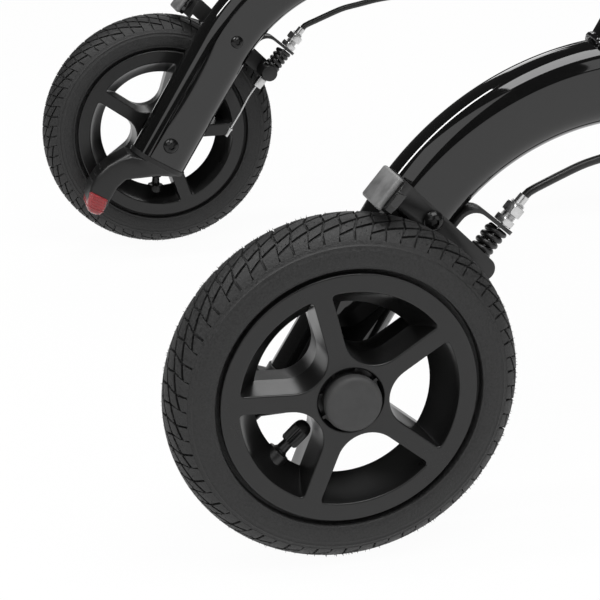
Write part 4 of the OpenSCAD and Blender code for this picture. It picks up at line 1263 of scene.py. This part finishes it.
finger_rings, finger_step, finger_r = 24, 4.6, 16
grip_profile = [(30, 12.7), (30, 17.8), (31, 18.6), (34, 18.6), (35, 17.2)]
for k in range(finger_rings):
    spot = 38 + k * finger_step
    low = finger_r + 0.9 * math.sin(math.pi * (k + 0.5) / finger_rings)
    grip_profile += [(spot, low), (spot + 0.5, low + 0.6), (spot + 3, low + 0.6), (spot + 3.5, low)]
grip_profile += [(156, 17.4), (157, 18.5), (162, 18.5), (163.6, 17.2), (164, 14), (164, 0)]
grip = lathe("grip", 64, 40, *grip_profile)
at_grip = Matrix.Translation(grip_point)
place(grip, at_grip @ Matrix.Rotation(-math.pi / 2, 4, "Z"))
holder = [rounded_box(*in_mm((-15, -30, -16), (15, 0, 15)), 6 * mm, 5)]
holder += [rounded_box(*in_mm((x, -30, -41), (x + 9, 0, -6)), 2.6 * mm, 4) for x in (-15, 6)]
grip = join(grip, *(place(box, at_grip) for box in holder))
fit_both(grip, "ringed_grip", "handle", "grip_rubber", grip_rubber, "grip")
lever = eased("lever_right", 2.4 * mm, 4)
fit_both(lever, "brake_handle", "brake_lever", "dark_plastic", toe_plastic, "lever")
print("grip axis at", round(grip_point.z, 3), "m")

# %% Collars and knobs
collar = eased("collar_right", 1.6 * mm, 3)
fit_both(collar, "upright_collar", "frame", "dark_plastic", toe_plastic, "collar")
knob = eased("knob_right", 1.8 * mm, 3)
face = lathe("face", 40, 30, (0, 0), (0, 9), (1.2, 9), (1.8, 8.2), (1.6, 6.8), (1, 6.4), (1, 0))
place(face, outward(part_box("knob_right")[1][0] - 0.3 * mm, knob_place))
fit_both(join(knob, face), "lobed_knob", "height_knob", "dark_plastic", toe_plastic, "knob")

# %% [markdown]
# ## Hinges and boards
# The seat, the spreader and the backrest fold in the middle between the side frames. Their brackets and
# boards keep the frame model's shapes, so that pins and knuckles still meet, and only get softer edges.

# %% Brackets, boards and spreaders
for side in SIDES:
    brackets = eased("pivot_brackets_" + side, 0.7 * mm)
    fit(brackets, "hinge_brackets_" + side, "frame_" + side, "dark_metal", satin_black,
        "pivot_brackets_" + side)
    board = eased("seat_board_" + side, 1.0 * mm)
    fit(board, "moulded_board_" + side, "seat_" + side, "dark_plastic", toe_plastic, "seat_board_" + side)
    spread = eased("spreader_" + side, 1.6 * mm, 3)
    fit(spread, "folding_arm_" + side, "spread_" + side, "frame_paint", gloss_paint, "spreader_" + side)
print("boards and arms:", 3 * len(SIDES))

# %% [markdown]
# ## Seat cushions and backrest
# Each half of the seat has its own foam cushion in a woven cover, and the backrest is padded in the same
# cloth. A box with a crowned top is blown up a little by a cloth simulation, with its base held on the board.
# That draws the sides in between the corners, as filled covers do. Piping and stitches go on after it.

# %% Cushion shapes
piping_r = 1.7 * mm
swell_cap = 5 * mm
voxel = 5 * mm
cloth_frames, cloth_pressure = 20, 4
thread_rise = 0.35 * mm


def plan(width, depth, corner, steps=8):
    """A rectangle with round corners, as a ring of (x, y) points, with points along its sides."""
    ring = []
    for k, (sx, sy) in enumerate(((1, 1), (-1, 1), (-1, -1), (1, -1))):
        centre = (sx * (width / 2 - corner), sy * (depth / 2 - corner))
        ring += arc(centre, corner, 90 * k, 90 * k + 90, steps)
    return ring


def cushion(name, width, depth, height, corner, crown):
    """A closed crowned pad that stands on Z = 0, blown up by cloth with its base held."""
    levels = [(0, 3 * mm), (0.22, 0.6 * mm), (0.5, 0), (0.78, 1.6 * mm), (0.93, 5 * mm), (1.0, 10 * mm)]
    rings = [[(x, y, height * share) for x, y in plan(width - 2 * inset, depth - 2 * inset, corner)]
             for share, inset in levels]
    pad = closed_loft(name, rings)
    modify(pad, "REMESH", mode="VOXEL", voxel_size=voxel)
    half_w, half_d = width / 2, depth / 2
    for vertex in pad.data.vertices:
        x, y, z = vertex.co
        if z > height * 0.6:
            vertex.co.z += crown * max(0, 1 - (x / half_w) ** 2) * max(0, 1 - (y / half_d) ** 2)
    start = [v.co.copy() for v in pad.data.vertices]
    held = pad.vertex_groups.new(name="base")
    held.add([v.index for v in pad.data.vertices if v.co.z < 1.5 * mm], 1.0, "REPLACE")
    only(pad)
    cloth = pad.modifiers.new("cloth", "CLOTH")
    cloth.settings.use_pressure = True
    cloth.settings.uniform_pressure_force = cloth_pressure
    cloth.settings.vertex_group_mass = held.name
    cloth.settings.effector_weights.gravity = 0
    cloth.point_cache.frame_start, cloth.point_cache.frame_end = 1, cloth_frames
    for frame_number in range(1, cloth_frames + 1):
        scene.frame_set(frame_number)
    bpy.ops.object.modifier_apply(modifier=cloth.name)
    for vertex, was in zip(pad.data.vertices, start):
        step = vertex.co - was
        if step.length > swell_cap:
            vertex.co = was + step * (swell_cap / step.length)
        vertex.co.z = max(vertex.co.z, 0)
    pad.vertex_groups.clear()
    scene.frame_set(1)
    modify(pad, "SUBSURF", levels=1, render_levels=1)
    return smooth(pad, 80)


def skin_ring(pad, height, width, depth, corner):
    """Points on a pad's side at a height, found from outside, for the piping to follow."""
    points = []
    away = 30 * mm
    for x, y in plan(width + 2 * away, depth + 2 * away, corner + away, 14):
        towards = Vector((-x, -y, 0)).normalized()
        hit, spot, normal, _ = pad.ray_cast(Vector((x, y, height)), towards)
        if hit:
            points.append(spot - normal * 0.3 * mm)
    return points


def stitched(points, length, gap, radius):
    """Short threads along a line of points, each raised in its middle."""
    marks = np.arange(0, lengths(points)[-1] - length, length + gap)
    lift = np.array((0, 0, thread_rise))
    ends = zip(spots(points, marks), spots(points, marks + length))
    return meshed(swept("stitches", [(a, (a + b) / 2 + lift, b) for a, b in ends], radius, 0))


print("cushion covers: piping of", piping_r, "m radius")

# %% Seat cushions
seat_low, seat_high = (Vector(c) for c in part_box("seat_pad_right"))
seat_size = seat_high - seat_low
pad_w, pad_d, pad_h = seat_size.x - 4 * mm, seat_size.y - 4 * mm, seat_size.z - 5 * mm
seat_corner, seat_crown = 22 * mm, 3 * mm
seam_inset, seam_corner = 34 * mm, 14 * mm
seat = cushion("seat", pad_w, pad_d, pad_h, seat_corner, seat_crown)
ring = skin_ring(seat, pad_h * 0.55, pad_w, pad_d, seat_corner)
piping = bead("piping", ring, piping_r)
inner = plan(pad_w - seam_inset, pad_d - seam_inset, seam_corner, 10)
line = []
for x, y in [*inner, inner[0]]:
    hit, on_top, _, _ = seat.ray_cast(Vector((x, y, 0.1)), Vector((0, 0, -1)))
    if hit:
        line.append(on_top)
stitch, stitch_gap, thread_r = 3.2 * mm, 1.4 * mm, 0.35 * mm
stitches = stitched(line, stitch, stitch_gap, thread_r)
seat_at = Matrix.Translation(((seat_low.x + seat_high.x) / 2, (seat_low.y + seat_high.y) / 2, seat_low.z))
for obj in (seat, piping, stitches):
    place(obj, seat_at)
for piece in fit_both(seat, "cushion", "seat", "seat_fabric", seat_cloth, "seat_pad"):
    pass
fit_both(piping, "cushion_piping", "seat", "seat_fabric", piping_cloth)
fit_both(stitches, "cushion_stitches", "seat", "seat_fabric", thread_grey)

# %% Backrest
back_low, back_high = (Vector(c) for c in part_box("backrest_right"))
panel_x = (8 * mm, 188 * mm)
back_corner, back_crown = 14 * mm, 3 * mm
sunk, sleeve_shift = 0.6 * mm, Vector((3.8 * mm, 0, 0))
panel_w, panel_h = panel_x[1] - panel_x[0], back_high.z - back_low.z
panel_t = back_high.y - back_low.y
back_mid = Vector((sum(panel_x) / 2, (back_low.y + back_high.y) / 2, (back_low.z + back_high.z) / 2))
sleeve_w, sleeve_h = panel_w - 4.6 * mm, panel_h + 3 * mm
back = cushion("back", sleeve_w, sleeve_h, panel_t / 2 + sunk, back_corner, back_crown)
place(back, Matrix.Translation((0, 0, -sunk)))
modify(back, "MIRROR", use_axis=(False, False, True), use_bisect_axis=(False, False, True),
       merge_threshold=0.4 * mm)
tidy(back)
ring = skin_ring(back, 0, sleeve_w, sleeve_h, back_corner)
back_piping = bead("piping", ring, piping_r)
stand_up = Matrix.Translation(back_mid + sleeve_shift) @ Matrix.Rotation(math.pi / 2, 4, "X")
for obj in (back, back_piping):
    place(obj, stand_up)
for piece in fit_both(smooth(back, 80), "back_pad", "back", "seat_fabric", seat_cloth):
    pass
fit_both(back_piping, "back_piping", "back", "seat_fabric", piping_cloth)
for side in SIDES:
    core = eased("backrest_" + side, 1.0 * mm)
    fit(core, "back_hinge_" + side, "back_" + side, "dark_plastic", toe_plastic, "backrest_" + side)
print("backrest:", round(panel_w, 3), "by", round(panel_h, 3), "m a half")

# %% [markdown]
# ## Floor and light
# The picture is a studio cut-out on white. A pale floor runs under everything. It shows as near white to the
# camera and in reflections, and keeps a faint shadow. Long soft lamps above give the painted tubes their
# streaks.

# %% Stage
floor_size, floor_grey, floor_glow = 60, 0.86, 0.965
world_grey = 0.05
bpy.ops.mesh.primitive_plane_add(size=floor_size, location=(0, 0, 0))
floor = bpy.context.object
floor.name = "floor"
pale = bpy.data.materials.new("pale_floor")
pale.use_nodes = True
tree = pale.node_tree
surface = tree.nodes["Material Output"]
shader = tree.nodes["Principled BSDF"]
shader.inputs["Base Color"].default_value = grey(floor_grey)
shader.inputs["Roughness"].default_value = 0.9
glow = add(tree, "ShaderNodeEmission", Strength=1.0)
path = add(tree, "ShaderNodeLightPath")
mirrored = add(tree, "ShaderNodeMath", operation="MAXIMUM")
seen = add(tree, "ShaderNodeMath", operation="MAXIMUM")
share = add(tree, "ShaderNodeMath", operation="MULTIPLY")
share.inputs[1].default_value = floor_glow
mix = add(tree, "ShaderNodeMixShader")
link = tree.links.new
link(path.outputs["Is Glossy Ray"], mirrored.inputs[0])
link(path.outputs["Is Transmission Ray"], mirrored.inputs[1])
link(path.outputs["Is Camera Ray"], seen.inputs[0])
link(mirrored.outputs[0], seen.inputs[1])
link(seen.outputs[0], share.inputs[0])
link(share.outputs[0], mix.inputs[0])
link(shader.outputs["BSDF"], mix.inputs[1])
link(glow.outputs["Emission"], mix.inputs[2])
link(mix.outputs["Shader"], surface.inputs["Surface"])
floor.data.materials.append(pale)

world = bpy.data.worlds.new("studio")
scene.world = world
world.use_nodes = True
sky = world.node_tree.nodes["Background"]
sky.inputs["Color"].default_value = grey(world_grey)
sky.inputs["Strength"].default_value = 1.0
scene.view_settings.view_transform = "Standard"


def lamp(name, place_at, target, size, power):
    light = bpy.data.lights.new(name, "AREA")
    light.shape = "RECTANGLE"
    light.size, light.size_y = size
    light.energy = power
    obj = bpy.data.objects.new(name, light)
    obj.location = place_at
    obj.rotation_euler = (Vector(target) - Vector(place_at)).to_track_quat("-Z", "Y").to_euler()
    scene.collection.objects.link(obj)


middle = (0, -0.1, 0.25)
lamp("key", (2.4, -1.9, 1.9), middle, (2.6, 2.2), 20)
lamp("fill", (2.2, 1.4, 1.3), middle, (1.8, 1.8), 12)
lamp("left_strip", (0.1, -1.5, 2.1), middle, (0.24, 1.5), 26)
lamp("top", (0.95, 0.2, 2.5), middle, (1.9, 1.4), 46)
lamp("back", (-2.2, 0.6, 1.8), middle, (1.6, 1.2), 18)
print("stage and lamps ready")
